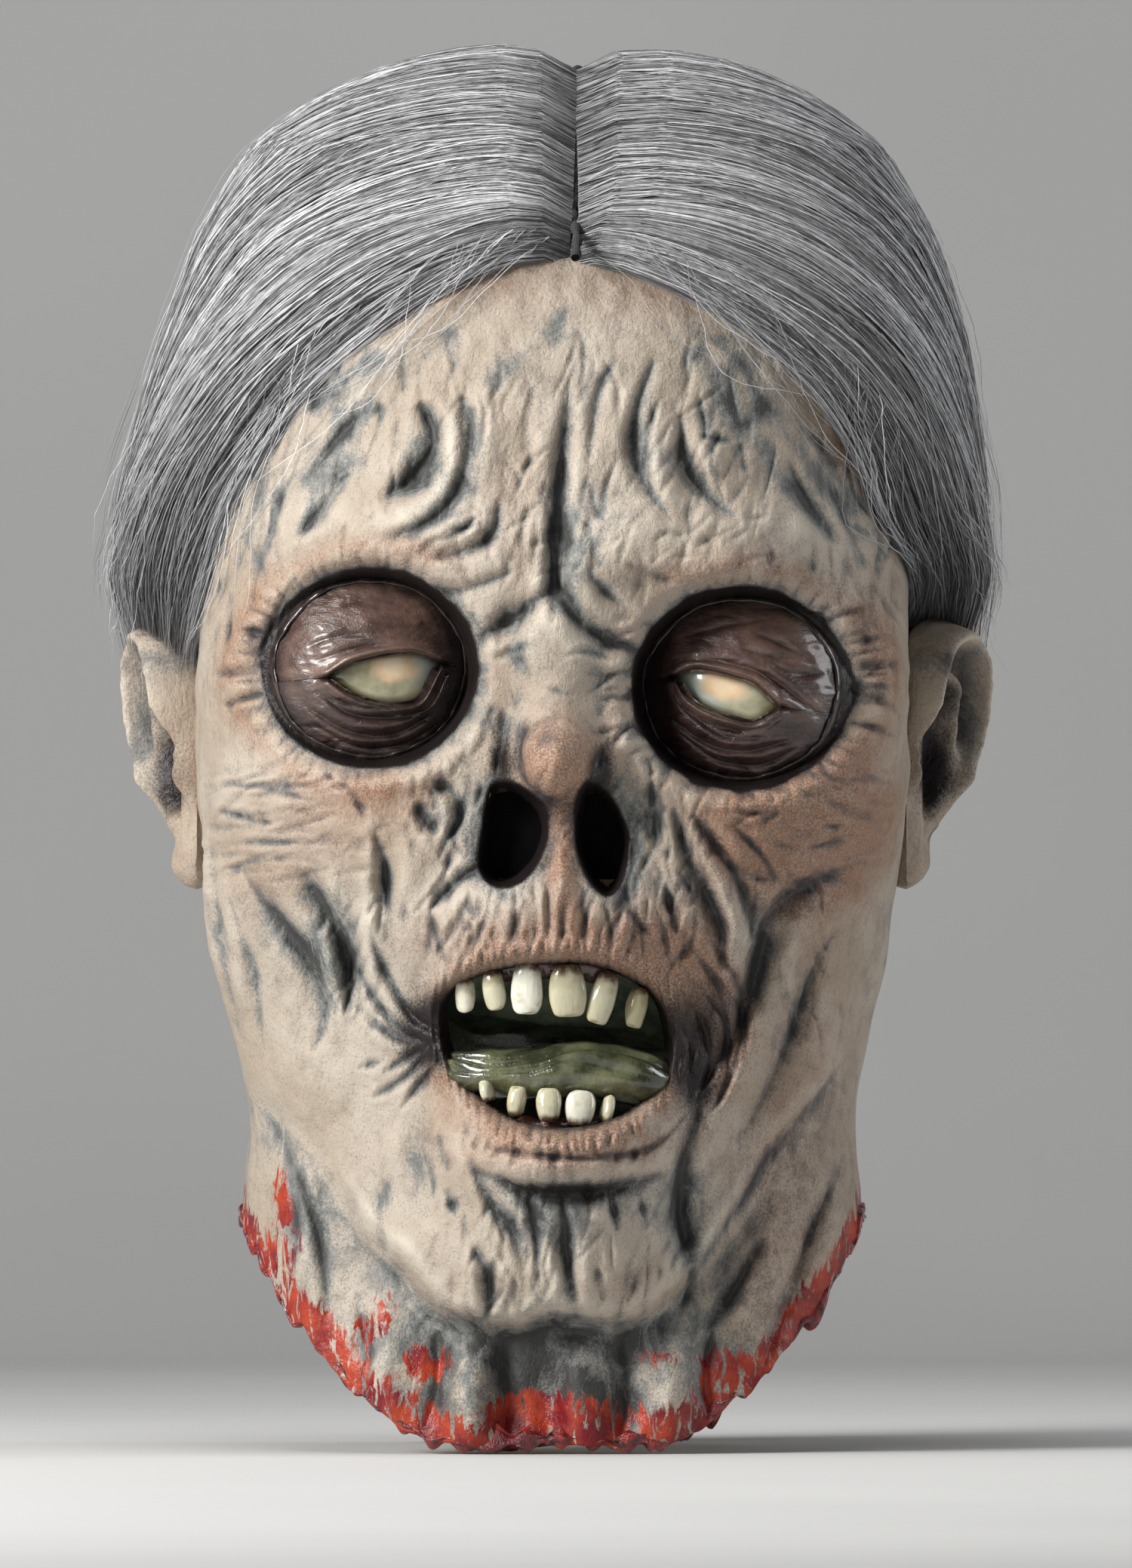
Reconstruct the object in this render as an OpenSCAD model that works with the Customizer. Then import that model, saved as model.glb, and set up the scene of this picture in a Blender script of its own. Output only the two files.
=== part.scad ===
// Full-head latex costume mask: a rotted old head with a torn neck.
// Frame: +Z up, the face looks along -Y, +X is on the viewer's right.
// The origin is the middle of the footprint, on the surface the neck stands on.

/* [Latex skin] */
// Thickness of the latex
wall = 3; // [2:0.5:4]
// Radius of the round rim of each eye socket
socket_r = 27.5; // [26:0.5:28]
// Radius of the two nasal openings
nostril_r = 8.5; // [7:0.5:9]
// Height that the neck's torn edge rises at the sides
rim_rise = 60; // [40:5:70]

/* [Eyes] */
// Radius of the eye domes
eye_r = 28; // [27:0.5:28]
// Thickness of the lid castings
lid_wall = 4; // [3:0.25:4.25]
// Sideways place of the eye on the viewer's left
eye_left_x = -49.5; // [-51:0.5:-48]
// Height of the eye on the viewer's left
eye_left_z = 213.5; // [212:0.5:215]
// Sideways place of the eye on the viewer's right
eye_right_x = 51.5; // [50:0.5:53]
// Height of the eye on the viewer's right
eye_right_z = 209; // [207:0.5:211]

/* [Mouth] */
// Height of the middle of the mouth
mouth_z = 112; // [110:1:114]
// Width of the mouth opening
mouth_w = 64; // [58:1:66]
// Height of the mouth opening
mouth_h = 42; // [38:1:44]
// Radius of the gum arches
arch_r = 34; // [32:1:36]

/* [Hair and padding] */
// Thickness of the wig's cloth base
cap_wall = 0.8; // [0.6:0.1:1.2]
// Thickness of the foam pad inside the crown
crown_pad_t = 32; // [20:2:36]
// Thickness of the foam strips at the brow and the back
strip_t = 12; // [8:1:14]

/* [Hidden] */

eps = 0.2;          // glue line left between bonded pieces
segments = 52;      // points round each ring of the head
crown_z = 373;      // top of the latex
pole_y = 5;         // depth of the crown's highest point
hair_low_z = 128;   // cut ends of the hair at the back
eye_y = -51;        // depth of the eye centres
socket_floor_y = -62;   // depth of the latex inside the sockets
lid_r = eye_r + 0.3 + lid_wall;
frame_shift = [-1.7, -9.5, 0];  // moves the middle of the outline to the origin
mouth_y = -100;     // depth of the lips
arch_y = -88.5 + arch_r;    // centre of the tooth arches
tooth_t = 4;        // thickness of the teeth
tooth_back = 4;     // the backs of the teeth are this far inside the arch
liner_y = -62;      // middle of the mouth's pocket
part_x = 7;         // sideways place of the hair's parting
neck_cut_deg = 22;  // the torn edge is level this far to each side of front and back

// Core of the head at each height: half width, depth in front, depth behind
CORE = [
    [0,   82, 66, 80], [30,  85, 63, 80], [60,  86, 60, 80], [90,  83, 62, 79],
    [110, 86, 72, 81], [135, 92, 84, 86], [160, 96, 90, 93], [190, 98, 93, 102],
    [215, 98, 94, 108], [240, 98, 95, 111], [270, 96, 92, 111], [300, 93, 84, 105],
    [325, 86, 71, 95], [345, 73, 55, 78], [358, 56, 39, 60], [367, 37, 22, 42],
    [371, 21, 9, 25], [373, 7, 3, 13]
];

EYES = [[eye_left_x, eye_left_z], [eye_right_x, eye_right_z]];

// Swellings and hollows of the face: x, z, half width, half height, how far it stands out
RELIEF = [
    [-42, 252, 34, 12, 7], [46, 248, 34, 12, 7],            // brows
    [-84, 214, 14, 34, 9], [86, 210, 14, 34, 9],            // outer rims of the sockets
    [1.5, 222, 12, 30, 6], [1.5, 191, 13, 14, 17],          // bridge and tip of the nose
    [-62, 176, 24, 16, 7], [64, 174, 24, 16, 7],            // cheekbones
    [-62, 134, 14, 20, -5], [62, 132, 14, 20, -5],          // hollow cheeks
    [0, 144, 36, 18, 12], [2, 86, 36, 14, 22],              // lips
    [-2, 92, 66, 26, 9], [-3, 56, 42, 22, 28]               // jaw and chin
];

// Thickness of the hair over the latex at each height
HAIR = [[130, 5], [170, 10], [211, 12], [240, 20], [262, 20], [300, 17], [340, 14], [373, 13]];

// Front edge of the hair, seen from the front: an arch of x, z points
HAIRLINE = [
    [-140, 212], [-97, 236], [-87, 259], [-76, 276], [-66, 291], [-48, 308], [-31, 319],
    [-14, 327], [5, 330], [21, 326], [38, 316], [55, 304], [70, 289], [81, 282], [90, 272],
    [96, 259], [100, 236], [140, 212]
];

// Every piece is drawn through this, which sets the frame's origin
module placed() {
    translate(frame_shift) children();
}

function smooth(t) = let (c = min(1, max(0, t))) c * c * (3 - 2 * c);
function column(rows, i) = [for (r = rows) [r[0], r[i]]];
function core(z, i) = lookup(z, column(CORE, i));
function relief(x, z) = [for (r = RELIEF)
    r[4] * exp(-pow(norm([(x - r[0]) / r[2], (z - r[1]) / r[3]]), 2.5))];
function total(v, i = 0) = i < len(v) ? v[i] + total(v, i + 1) : 0;

// Height of the torn edge at an angle from the front, and of a ring that fades into it
function torn_edge(a) =
    rim_rise * smooth((min(a, 360 - a, abs(180 - a)) - neck_cut_deg) / (90 - neck_cut_deg));
function ring_z(a, z) =
    let (e = torn_edge(a), blend = 110) z >= blend ? z : e + z * (blend - e) / blend;

// How far inside an eye socket a place is, from 0 at the rim to 1
function in_socket(x, z) = max([for (e = EYES)
    exp(-pow(norm([(x - e[0]) / (socket_r + 1), (z - e[1]) / (socket_r - 1)]), 4))]);

// A point of the head's surface, grown outward by g
function skin_point(a, z0, g, faced) =
    let (z = min(ring_z(a, z0), crown_z),
         x = (core(z, 1) + g) * sin(a),
         ahead = cos(a) > 0,
         depth = ahead ? core(z, 2) : core(z, 3),
         y = (ahead ? -1 : 1) * (depth + g) * pow(abs(cos(a)), ahead ? 0.74 : 0.86),
         out = ahead && faced ? total(relief(x, z)) * smooth(cos(a) * 3) : 0,
         sunk = ahead && faced ? in_socket(x, z) : 0,
         lift = g * smooth((z - 290) / 80))
    [x, (y - out) * (1 - sunk) + (socket_floor_y - g) * sunk, z + lift];

// Ring heights, closer together round the face
LEVELS = concat([for (i = [0:3]) 8 * i], [for (i = [0:24]) 38 + 11.2 * i],
    [319, 330, 340, 349, 356, 362, 367, 370, 372, 373]);

// Angle of each point of a ring from the front, closer together in front
function spoke(i) = 360 * i / segments - 30 * sin(360 * i / segments);
function ring(z, g, faced) = [for (i = [0:segments - 1]) skin_point(spoke(i), z, g, faced)];
function levels_above(low) = [for (z = LEVELS) if (z >= low) z];

// Side faces between consecutive rings, and a fan over each end
function side_faces(rings) = [for (k = [0:rings - 2], i = [0:segments - 1])
    let (j = (i + 1) % segments, a = k * segments) each
    [[a + i, a + j, a + segments + j], [a + i, a + segments + j, a + segments + i]]];
function fan(first, centre, up) = [for (i = [0:segments - 1])
    let (j = (i + 1) % segments)
    up ? [first + i, first + j, centre] : [first + j, first + i, centre]];

// A closed solid through a list of rings, pointed at both ends
module loft(rings, base, apex) {
    n = len(rings) * segments;
    polyhedron(
        points = concat([for (r = rings) each r], [base, apex]),
        faces = [for (f = concat(side_faces(len(rings)), fan(0, n, false), fan(n - segments, n + 1, true)))
            [f[2], f[1], f[0]]],
        convexity = 8);
}

// The head's volume, grown by g, from the torn edge or a height upward
module head_volume(g, low = 0, faced = true, drop = 0) {
    zs = levels_above(low);
    loft([for (k = [0:len(zs) - 1]) ring(zs[k] - (k == 0 ? drop : 0), g, faced)],
        [0, pole_y, zs[0] - drop], [0, pole_y, crown_z + g * 1.02]);
}

// The latex as one closed skin: up the inside, and down the outside to the torn edge
module hollow_head() {
    outer = [for (z = LEVELS) ring(z, 0, true)];
    inner = [for (z = LEVELS) ring(z, -wall, true)];
    top = len(LEVELS) - 1;
    loft(concat([for (k = [0:top]) inner[top - k]], outer),
        [0, pole_y, crown_z - wall], [0, pole_y, crown_z]);
}

// An upright capsule lying along Y, for the nasal openings
module nostril_cut(x, z, tilt) {
    translate([x, -90, z]) rotate([90, 0, 0]) linear_extrude(90, center = true)
        rotate(tilt) union() {
            translate([0, 5]) circle(r = nostril_r * 0.75, $fn = 32);
            square([nostril_r * 1.5, 10], center = true);
            translate([0, -5]) circle(r = nostril_r, $fn = 32);
        }
}

// Rounded outline of the mouth, turned a little to the viewer's right
module mouth_outline() {
    rotate(-6) offset(r = mouth_h / 2 - 2, $fn = 40)
        square([mouth_w - mouth_h + 4, 4], center = true);
}

module latex_skin() {
    color("#b5a88c") difference() {
        hollow_head();
        for (e = EYES) translate([e[0], eye_y, e[1]]) sphere(r = lid_r + eps, $fn = 64);
        nostril_cut(-10, 169, 8);
        nostril_cut(14, 168, -8);
        translate([0, mouth_y + 30, mouth_z]) rotate([90, 0, 0]) linear_extrude(120)
            mouth_outline();
    }
}

// Outline of an ear seen from its side, with the face toward -Y
module ear_outline(grow) {
    offset(r = grow, $fn = 40) hull() {
        translate([9, 18]) circle(r = 13, $fn = 40);
        translate([-1, 8]) circle(r = 13, $fn = 40);
        translate([-5, -30]) circle(r = 7, $fn = 32);
    }
}

// An ear: a rolled outer rim and lobe round a hollow shell, bonded along its flat root
module ear(side, flare) {
    ear_w = 13;
    root_x = 1.2;
    floor_t = 3;
    translate([side * 98, 2, 192]) mirror([side < 0 ? 1 : 0, 0, 0]) rotate([0, 4, -flare])
        difference() {
            rotate([90, 0, 90]) linear_extrude(ear_w) ear_outline(0);
            intersection() {
                translate([-40, 0, 0]) rotate([90, 0, 90]) linear_extrude(80) ear_outline(-3.5);
                rotate([0, -4, flare]) translate([root_x + floor_t, -60, -80]) cube([60, 120, 160]);
            }
            rotate([0, -4, flare]) translate([root_x - 60, -60, -80]) cube([60, 120, 160]);
        }
}

module ear_left() { color("#b3a58a") ear(-1, 16); }
module ear_right() { color("#b3a58a") ear(1, 30); }

// A lumpy bead of wound latex round the torn edge, outside the skin
module gore_rim() {
    bead_h = 12;
    bead_t = 3.4;
    profile = [[0, eps], [0, bead_t], [bead_h * 0.6, bead_t], [bead_h, eps]];
    rings = [for (p = profile) ring(p[0], p[1], true)];
    color("#8e1f16") polyhedron(
        points = [for (r = rings) each r],
        faces = [for (k = [0:3], i = [0:segments - 1])
            let (j = (i + 1) % segments, a = k * segments, b = ((k + 1) % 4) * segments) each
            [[a + i, b + j, a + j], [a + i, b + i, b + j]]],
        convexity = 8);
}

// Eye parts are made at the origin, looking along -Y, and then placed
module at_eye(side) {
    translate([side < 0 ? eye_left_x : eye_right_x, eye_y, side < 0 ? eye_left_z : eye_right_z])
        children();
}
module front_half(r, back) {
    intersection() {
        children();
        translate([-r, -r - 1, -r]) cube([2 * r, r + 1 - back, 2 * r]);
    }
}
module eyeball(side) {
    color("#b9b58c") at_eye(side)
        front_half(40, 8) difference() {
            sphere(r = eye_r, $fn = 64);
            sphere(r = eye_r - 3, $fn = 64);
        }
}
module eyeball_left() { eyeball(-1); }
module eyeball_right() { eyeball(1); }

// Half of the lid dome above (up = 1) or below (up = -1) the open slit between the lids
module lid(side, up) {
    slit_tilt = side < 0 ? -2 : 13;
    slit_half = up > 0 ? 3 : 8.5;
    color(up > 0 ? "#4a352f" : "#2f2422") at_eye(side)
        front_half(40, 12) difference() {
            sphere(r = lid_r, $fn = 64);
            sphere(r = eye_r + 0.3, $fn = 64);
            rotate([0, slit_tilt, 0]) translate([-40, -40, up > 0 ? -80 + slit_half : -slit_half])
                cube([80, 80, 80]);
        }
}
module upper_lid_left() { lid(-1, 1); }
module upper_lid_right() { lid(1, 1); }
module lower_lid_left() { lid(-1, -1); }
module lower_lid_right() { lid(1, -1); }

// The glue bead that seats the lids, a ring behind the lid castings
module socket_bead(side) {
    bead_r = 1.6;
    color("#1d1715") at_eye(side) rotate([90, 0, 0]) translate([0, 0, 10])
        rotate_extrude($fn = 64) translate([eye_r + bead_r - 0.8, 0]) circle(r = bead_r, $fn = 20);
}
module socket_bead_left() { socket_bead(-1); }
module socket_bead_right() { socket_bead(1); }

// Black gauze glued inside behind each nasal opening
module nostril_mesh(side) {
    color("#151312") translate([side < 0 ? -11 : 15, -82, 169]) rotate([90, 0, 0])
        cylinder(r = 12, h = 0.8, $fn = 48);
}
module nostril_mesh_left() { nostril_mesh(-1); }
module nostril_mesh_right() { nostril_mesh(1); }

// A round-bottomed pocket, open toward the face
module pocket(w, d, h) {
    resize([2 * w, 2 * d, 2 * h]) sphere(r = w, $fn = 40);
    rotate([90, 0, 0]) linear_extrude(60) polygon([for (a = [0:9:351]) [w * cos(a), h * sin(a)]]);
}

// The dark pocket behind the lips, cut off by the inside of the skin
module mouth_liner() {
    t = 2;
    w = mouth_w / 2 + 8;
    d = 24;
    h = mouth_h / 2 + 14;
    color("#22261f") intersection() {
        translate([0, liner_y, mouth_z]) rotate([0, 6, 0]) difference() {
            pocket(w, d, h);
            pocket(w - t, d - t, h - t);
        }
        inner_space(eps);
    }
}

// A gum is an arch of soft round section
module gum(z, half_deg) {
    gum_r = 4.2;
    translate([0, arch_y, z]) rotate([0, 0, 270 - half_deg])
        rotate_extrude(angle = 2 * half_deg, $fn = 96)
            translate([arch_r - tooth_back - gum_r - eps / 2, 0]) circle(r = gum_r, $fn = 24);
}
module upper_gum() { color("#3a2523") gum(133.5, 42); }
module lower_gum() { color("#2c2722") gum(88, 40); }

module tongue() {
    color("#4e5130") translate([3, -73, 105]) rotate([0, 98, 0]) rotate_extrude($fn = 48)
        polygon([[0, -25], [5, -24], [8, -19], [8.6, -8], [8.6, 8], [8, 19], [5, 24], [0, 25]]);
}

// Teeth: sideways place, height of the middle, width, height, lean
UPPER_TEETH = [
    [-23.3, 126.6, 6.4, 10, 4], [-15.6, 127.6, 6.2, 11, -6], [-7, 128, 8.6, 13.6, 1],
    [4.5, 127.6, 10.2, 14, 0], [15.2, 125.6, 7, 13.6, 14], [23.8, 123.6, 6.2, 11.5, 8]
];
LOWER_TEETH = [
    [-17.7, 99, 3.6, 7, -14], [-9.6, 96, 5, 8.5, 4], [-0.6, 95.4, 6.4, 9, 0],
    [7.8, 94.2, 8, 9.6, 4], [14.9, 94, 3.6, 7, 12]
];
// A tooth is a slab with round corners, a little narrower at its root
module tooth(row, root) {
    turn = asin(row[0] / arch_r);
    corner = 1.5;
    biting = row[2] / 2 - corner;
    neck = biting * 0.8;
    reach = row[3] / 2 - corner;
    color("#c9c39b") translate([row[0], arch_y - (arch_r - tooth_back + tooth_t / 2) * cos(turn), row[1]])
        rotate([0, row[4], turn * 0.8]) rotate([90, 0, 0]) linear_extrude(tooth_t, center = true)
            offset(r = corner, $fn = 24)
                polygon([[-biting, -root * reach], [biting, -root * reach],
                    [neck, root * reach], [-neck, root * reach]]);
}
module upper_tooth(i) { tooth(UPPER_TEETH[i - 1], 1); }
module lower_tooth(i) { tooth(LOWER_TEETH[i - 1], -1); }

// Everything in front of the hairline and of the ears
module face_window(grow) {
    rotate([90, 0, 0]) translate([0, 0, -12]) linear_extrude(200)
        polygon(concat([for (p = HAIRLINE) [p[0], p[1] + grow]], [[140, -20], [-140, -20]]));
}

module wig_cap() {
    color("#3b3835") difference() {
        head_volume(eps + cap_wall, 165);
        head_volume(eps, 0, true, 4);
        face_window(4);
        ear_room(-1);
        ear_room(1);
    }
}

// The sewn track that the two sides of the hair spring from
module parting_seam() {
    color("#55514d") intersection() {
        difference() {
            head_volume(hair_at(360) - 2, 300, false);
            head_volume(2 * eps + cap_wall, 0, true, 4);
        }
        translate([part_x - 0.9, -64, 334]) cube([1.8, 110, 60]);
    }
}

function hair_at(z) = lookup(z, HAIR);

// Outer volume of the dressed hair
module hair_volume() {
    zs = levels_above(hair_low_z);
    loft([for (z = zs) ring(z, hair_at(z), false)],
        [0, pole_y, zs[0]], [0, pole_y, crown_z + hair_at(crown_z) + 0.2]);
}
module hair_side(side) {
    color("#8b8b8e") difference() {
        hair_volume();
        head_volume(2 * eps + cap_wall, 0, true, 4);
        face_window(0);
        translate([side < 0 ? part_x - 1.1 : part_x - 398.9, -200, 100]) cube([400, 400, 400]);
        ear_room(side);
    }
}
// Clear space round an ear: the hair passes above it and behind it
module ear_room(side) {
    translate([side * 120, 2, 196]) rotate([0, 90, 0]) cylinder(r = 40, h = 80, center = true, $fn = 72);
    translate([side * 120, 2, 156]) cube([80, 80, 80], center = true);
}
module hair_left() { hair_side(-1); }
module hair_right() { hair_side(1); }

// Foam pads follow the inside of the latex
module inner_space(g) { head_volume(-wall - g, 0, false); }
module crown_pad() {
    color("#3d3f42") intersection() {
        inner_space(1);
        translate([0, 8, crown_z - wall - crown_pad_t]) cylinder(r = 62, h = 60, $fn = 64);
    }
}
module strip(y0, z0, w, h) {
    intersection() {
        difference() {
            inner_space(1);
            inner_space(1 + strip_t);
        }
        translate([-w / 2, y0, z0]) cube([w, 90, h]);
    }
}
module brow_pad() { color("#3d3f42") strip(-110, 272, 110, 30); }
module rear_pad() { color("#3d3f42") strip(30, 235, 110, 50); }

placed() latex_skin();
placed() ear_left();
placed() ear_right();
placed() gore_rim();
placed() eyeball_left();
placed() eyeball_right();
placed() upper_lid_left();
placed() upper_lid_right();
placed() lower_lid_left();
placed() lower_lid_right();
placed() socket_bead_left();
placed() socket_bead_right();
placed() nostril_mesh_left();
placed() nostril_mesh_right();
placed() mouth_liner();
placed() upper_gum();
placed() lower_gum();
placed() tongue();
placed() upper_tooth(1);  // upper_tooth_1
placed() upper_tooth(2);  // upper_tooth_2
placed() upper_tooth(3);  // upper_tooth_3
placed() upper_tooth(4);  // upper_tooth_4
placed() upper_tooth(5);  // upper_tooth_5
placed() upper_tooth(6);  // upper_tooth_6
placed() lower_tooth(1);  // lower_tooth_1
placed() lower_tooth(2);  // lower_tooth_2
placed() lower_tooth(3);  // lower_tooth_3
placed() lower_tooth(4);  // lower_tooth_4
placed() lower_tooth(5);  // lower_tooth_5
placed() wig_cap();
placed() parting_seam();
placed() hair_left();
placed() hair_right();
placed() crown_pad();
placed() brow_pad();
placed() rear_pad();
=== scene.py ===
"""Looks of a full-head latex costume mask: a rotted old head with grey hair and a torn neck.

Everything is sculpted in millimetres round the axis of the head, with the face toward -Y, and
to_frame() moves it to the CAD frame in metres.
"""
import math

import bpy
import numpy as np
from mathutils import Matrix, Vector


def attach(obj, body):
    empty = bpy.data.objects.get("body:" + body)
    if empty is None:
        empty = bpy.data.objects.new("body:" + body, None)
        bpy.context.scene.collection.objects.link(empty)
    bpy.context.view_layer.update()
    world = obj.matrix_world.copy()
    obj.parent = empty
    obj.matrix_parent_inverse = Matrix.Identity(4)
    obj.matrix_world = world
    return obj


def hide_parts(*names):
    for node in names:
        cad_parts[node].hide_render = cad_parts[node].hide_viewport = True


SHIFT = np.array([-1.7, -9.5, 0.0])     # from the head's axis to the frame's origin
MM = 0.001
HEAD_MIDDLE = np.array([0.0, 0.0, 240.0])       # the hair is laid on the head along rays from here
HAIR_MIDDLE = np.array([0.0, 10.0, 240.0])      # hairs are raised and turned away from here

# Core of the head at each height: height, half width, depth in front, depth behind
CORE = np.array([
    [0, 82, 66, 80], [30, 85, 63, 80], [60, 86, 60, 80], [90, 83, 62, 79],
    [110, 86, 72, 81], [135, 92, 84, 86], [160, 96, 90, 93], [190, 98, 93, 102],
    [215, 98, 94, 108], [240, 98, 95, 111], [270, 96, 92, 111], [300, 93, 84, 105],
    [325, 86, 71, 95], [345, 73, 55, 78], [358, 56, 39, 60], [367, 37, 22, 42],
    [371, 21, 9, 25], [373, 7, 3, 13],
], float)
CROWN_Z = 373.0
FRONT_POWER = 0.74      # how square the head's outline is in front and behind
BACK_POWER = 0.86
RIM_RISE = 60.0         # how far the torn edge rises at the sides
LEVEL_DEG = 17.0        # the torn edge is level this far to each side of front and back
WALL = 3.0              # thickness of the latex

EYES = {"left": (-49.5, 214.5), "right": (51.5, 209.0)}
EYE_Y = -51.0
# From each eye's centre: the cloud's x, z and lean, then the paler patch as a blob
EYE_CLOUDS = {"left": (6.5, 0.2, 0.0, (16, 0, 5, 6, 1)), "right": (-5.0, 0.8, 0.26, (-12, 0, 8, 8, 1))}
SOCKET = {"left": (28.5, 26.5), "right": (29.0, 27.0)}     # half width and half height
EYE_R = 28.0
LID_R = 32.6

# Large forms of the face: x, z, half width, half height, how far it stands out
FORMS = [
    (-42, 252, 34, 12, 7), (46, 248, 34, 12, 7), (-80, 214, 14, 34, 6), (83, 210, 14, 34, 8),
    (1.5, 222, 11, 24, 7), (1.5, 190, 12, 13, 12), (-62, 176, 24, 16, 7), (64, 174, 24, 16, 7),
    (-62, 134, 14, 20, -5), (62, 132, 14, 20, -5), (0, 144, 36, 18, 12), (2, 86, 36, 14, 22),
]
# The hanging jaw and chin, which end at the jaw's edge
JAW_FORMS = [(-2, 92, 66, 26, 11), (-4, 58, 42, 24, 27)]
JAW_CORNERS = 17        # the points of the jaw itself; the last two close the outline far above
JAW_EDGE = [
    (-92, 118), (-81, 97), (-68, 85), (-61, 72), (-52, 58), (-42, 49), (-33, 38), (-20, 33), (-9, 32),
    (1, 35), (17, 33), (29, 37), (42, 49), (56, 68), (68, 90), (78, 101), (92, 118), (92, 400), (-92, 400),
]

# Smaller lumps: x, z, half width, half height, height
LUMPS = [
    (1.5, 188, 9.5, 10, 5.0), (3.2, 163, 2.8, 14, 3.0), (-14, 239, 9, 12, 3.2), (16, 238, 11, 13, 3.2),
    (-29, 270, 6, 12, 2.6), (-18, 275, 5, 12, 2.0), (30, 270, 5, 13, 2.2), (42, 272, 6, 10, 2.0),
    (-36, 254, 12, 5, 2.6), (-26, 241, 14, 5, 2.4), (22, 252, 10, 8, 2.0), (44, 243, 16, 5, 2.2),
    (19, 195, 4, 7, 2.2), (26, 193, 4.5, 8, 2.0), (-19, 194, 5, 9, 1.8), (-59, 155, 5, 8, 3.0),
    (-50, 163, 5, 9, 2.6), (-37, 186, 9, 6, 1.8), (-33, 166, 6, 10, 2.2), (-39, 158, 4.5, 12, 2.4),
    (40, 160, 4, 13, 2.6), (33, 164, 4, 12, 2.0), (47, 151, 4, 12, 2.0), (57, 146, 4.5, 10, 1.6),
    (36, 127, 6, 7, 3.0), (-50, 144, 3.5, 10, 2.0), (-60, 138, 3.6, 14, 2.4), (-71, 128, 5, 18, 2.6),
    (66, 128, 4, 16, 2.6), (76, 120, 6, 20, 2.2), (-70, 104, 10, 12, 2.5), (70, 104, 8, 14, 2.0),
    (-22, 48, 10, 10, 2.6), (-2, 44, 9, 9, 2.0), (18, 46, 12, 11, 2.4), (-38, 58, 8, 9, 1.6),
    (-36, 83, 5, 12, -4.0), (-75, 182, 12, 8, 1.6), (76, 178, 12, 8, 1.6), (-70, 66, 6, 24, 3.0),
    (-22, 16, 6, 18, 4.5), (10, 18, 5, 18, 3.0), (32, 18, 6, 16, 3.4), (-46, 24, 7, 18, 2.6),
    (58, 40, 8, 26, 2.6), (76, 62, 6, 22, 2.6), (-2, 12, 8, 16, -4.0),
]

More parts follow.
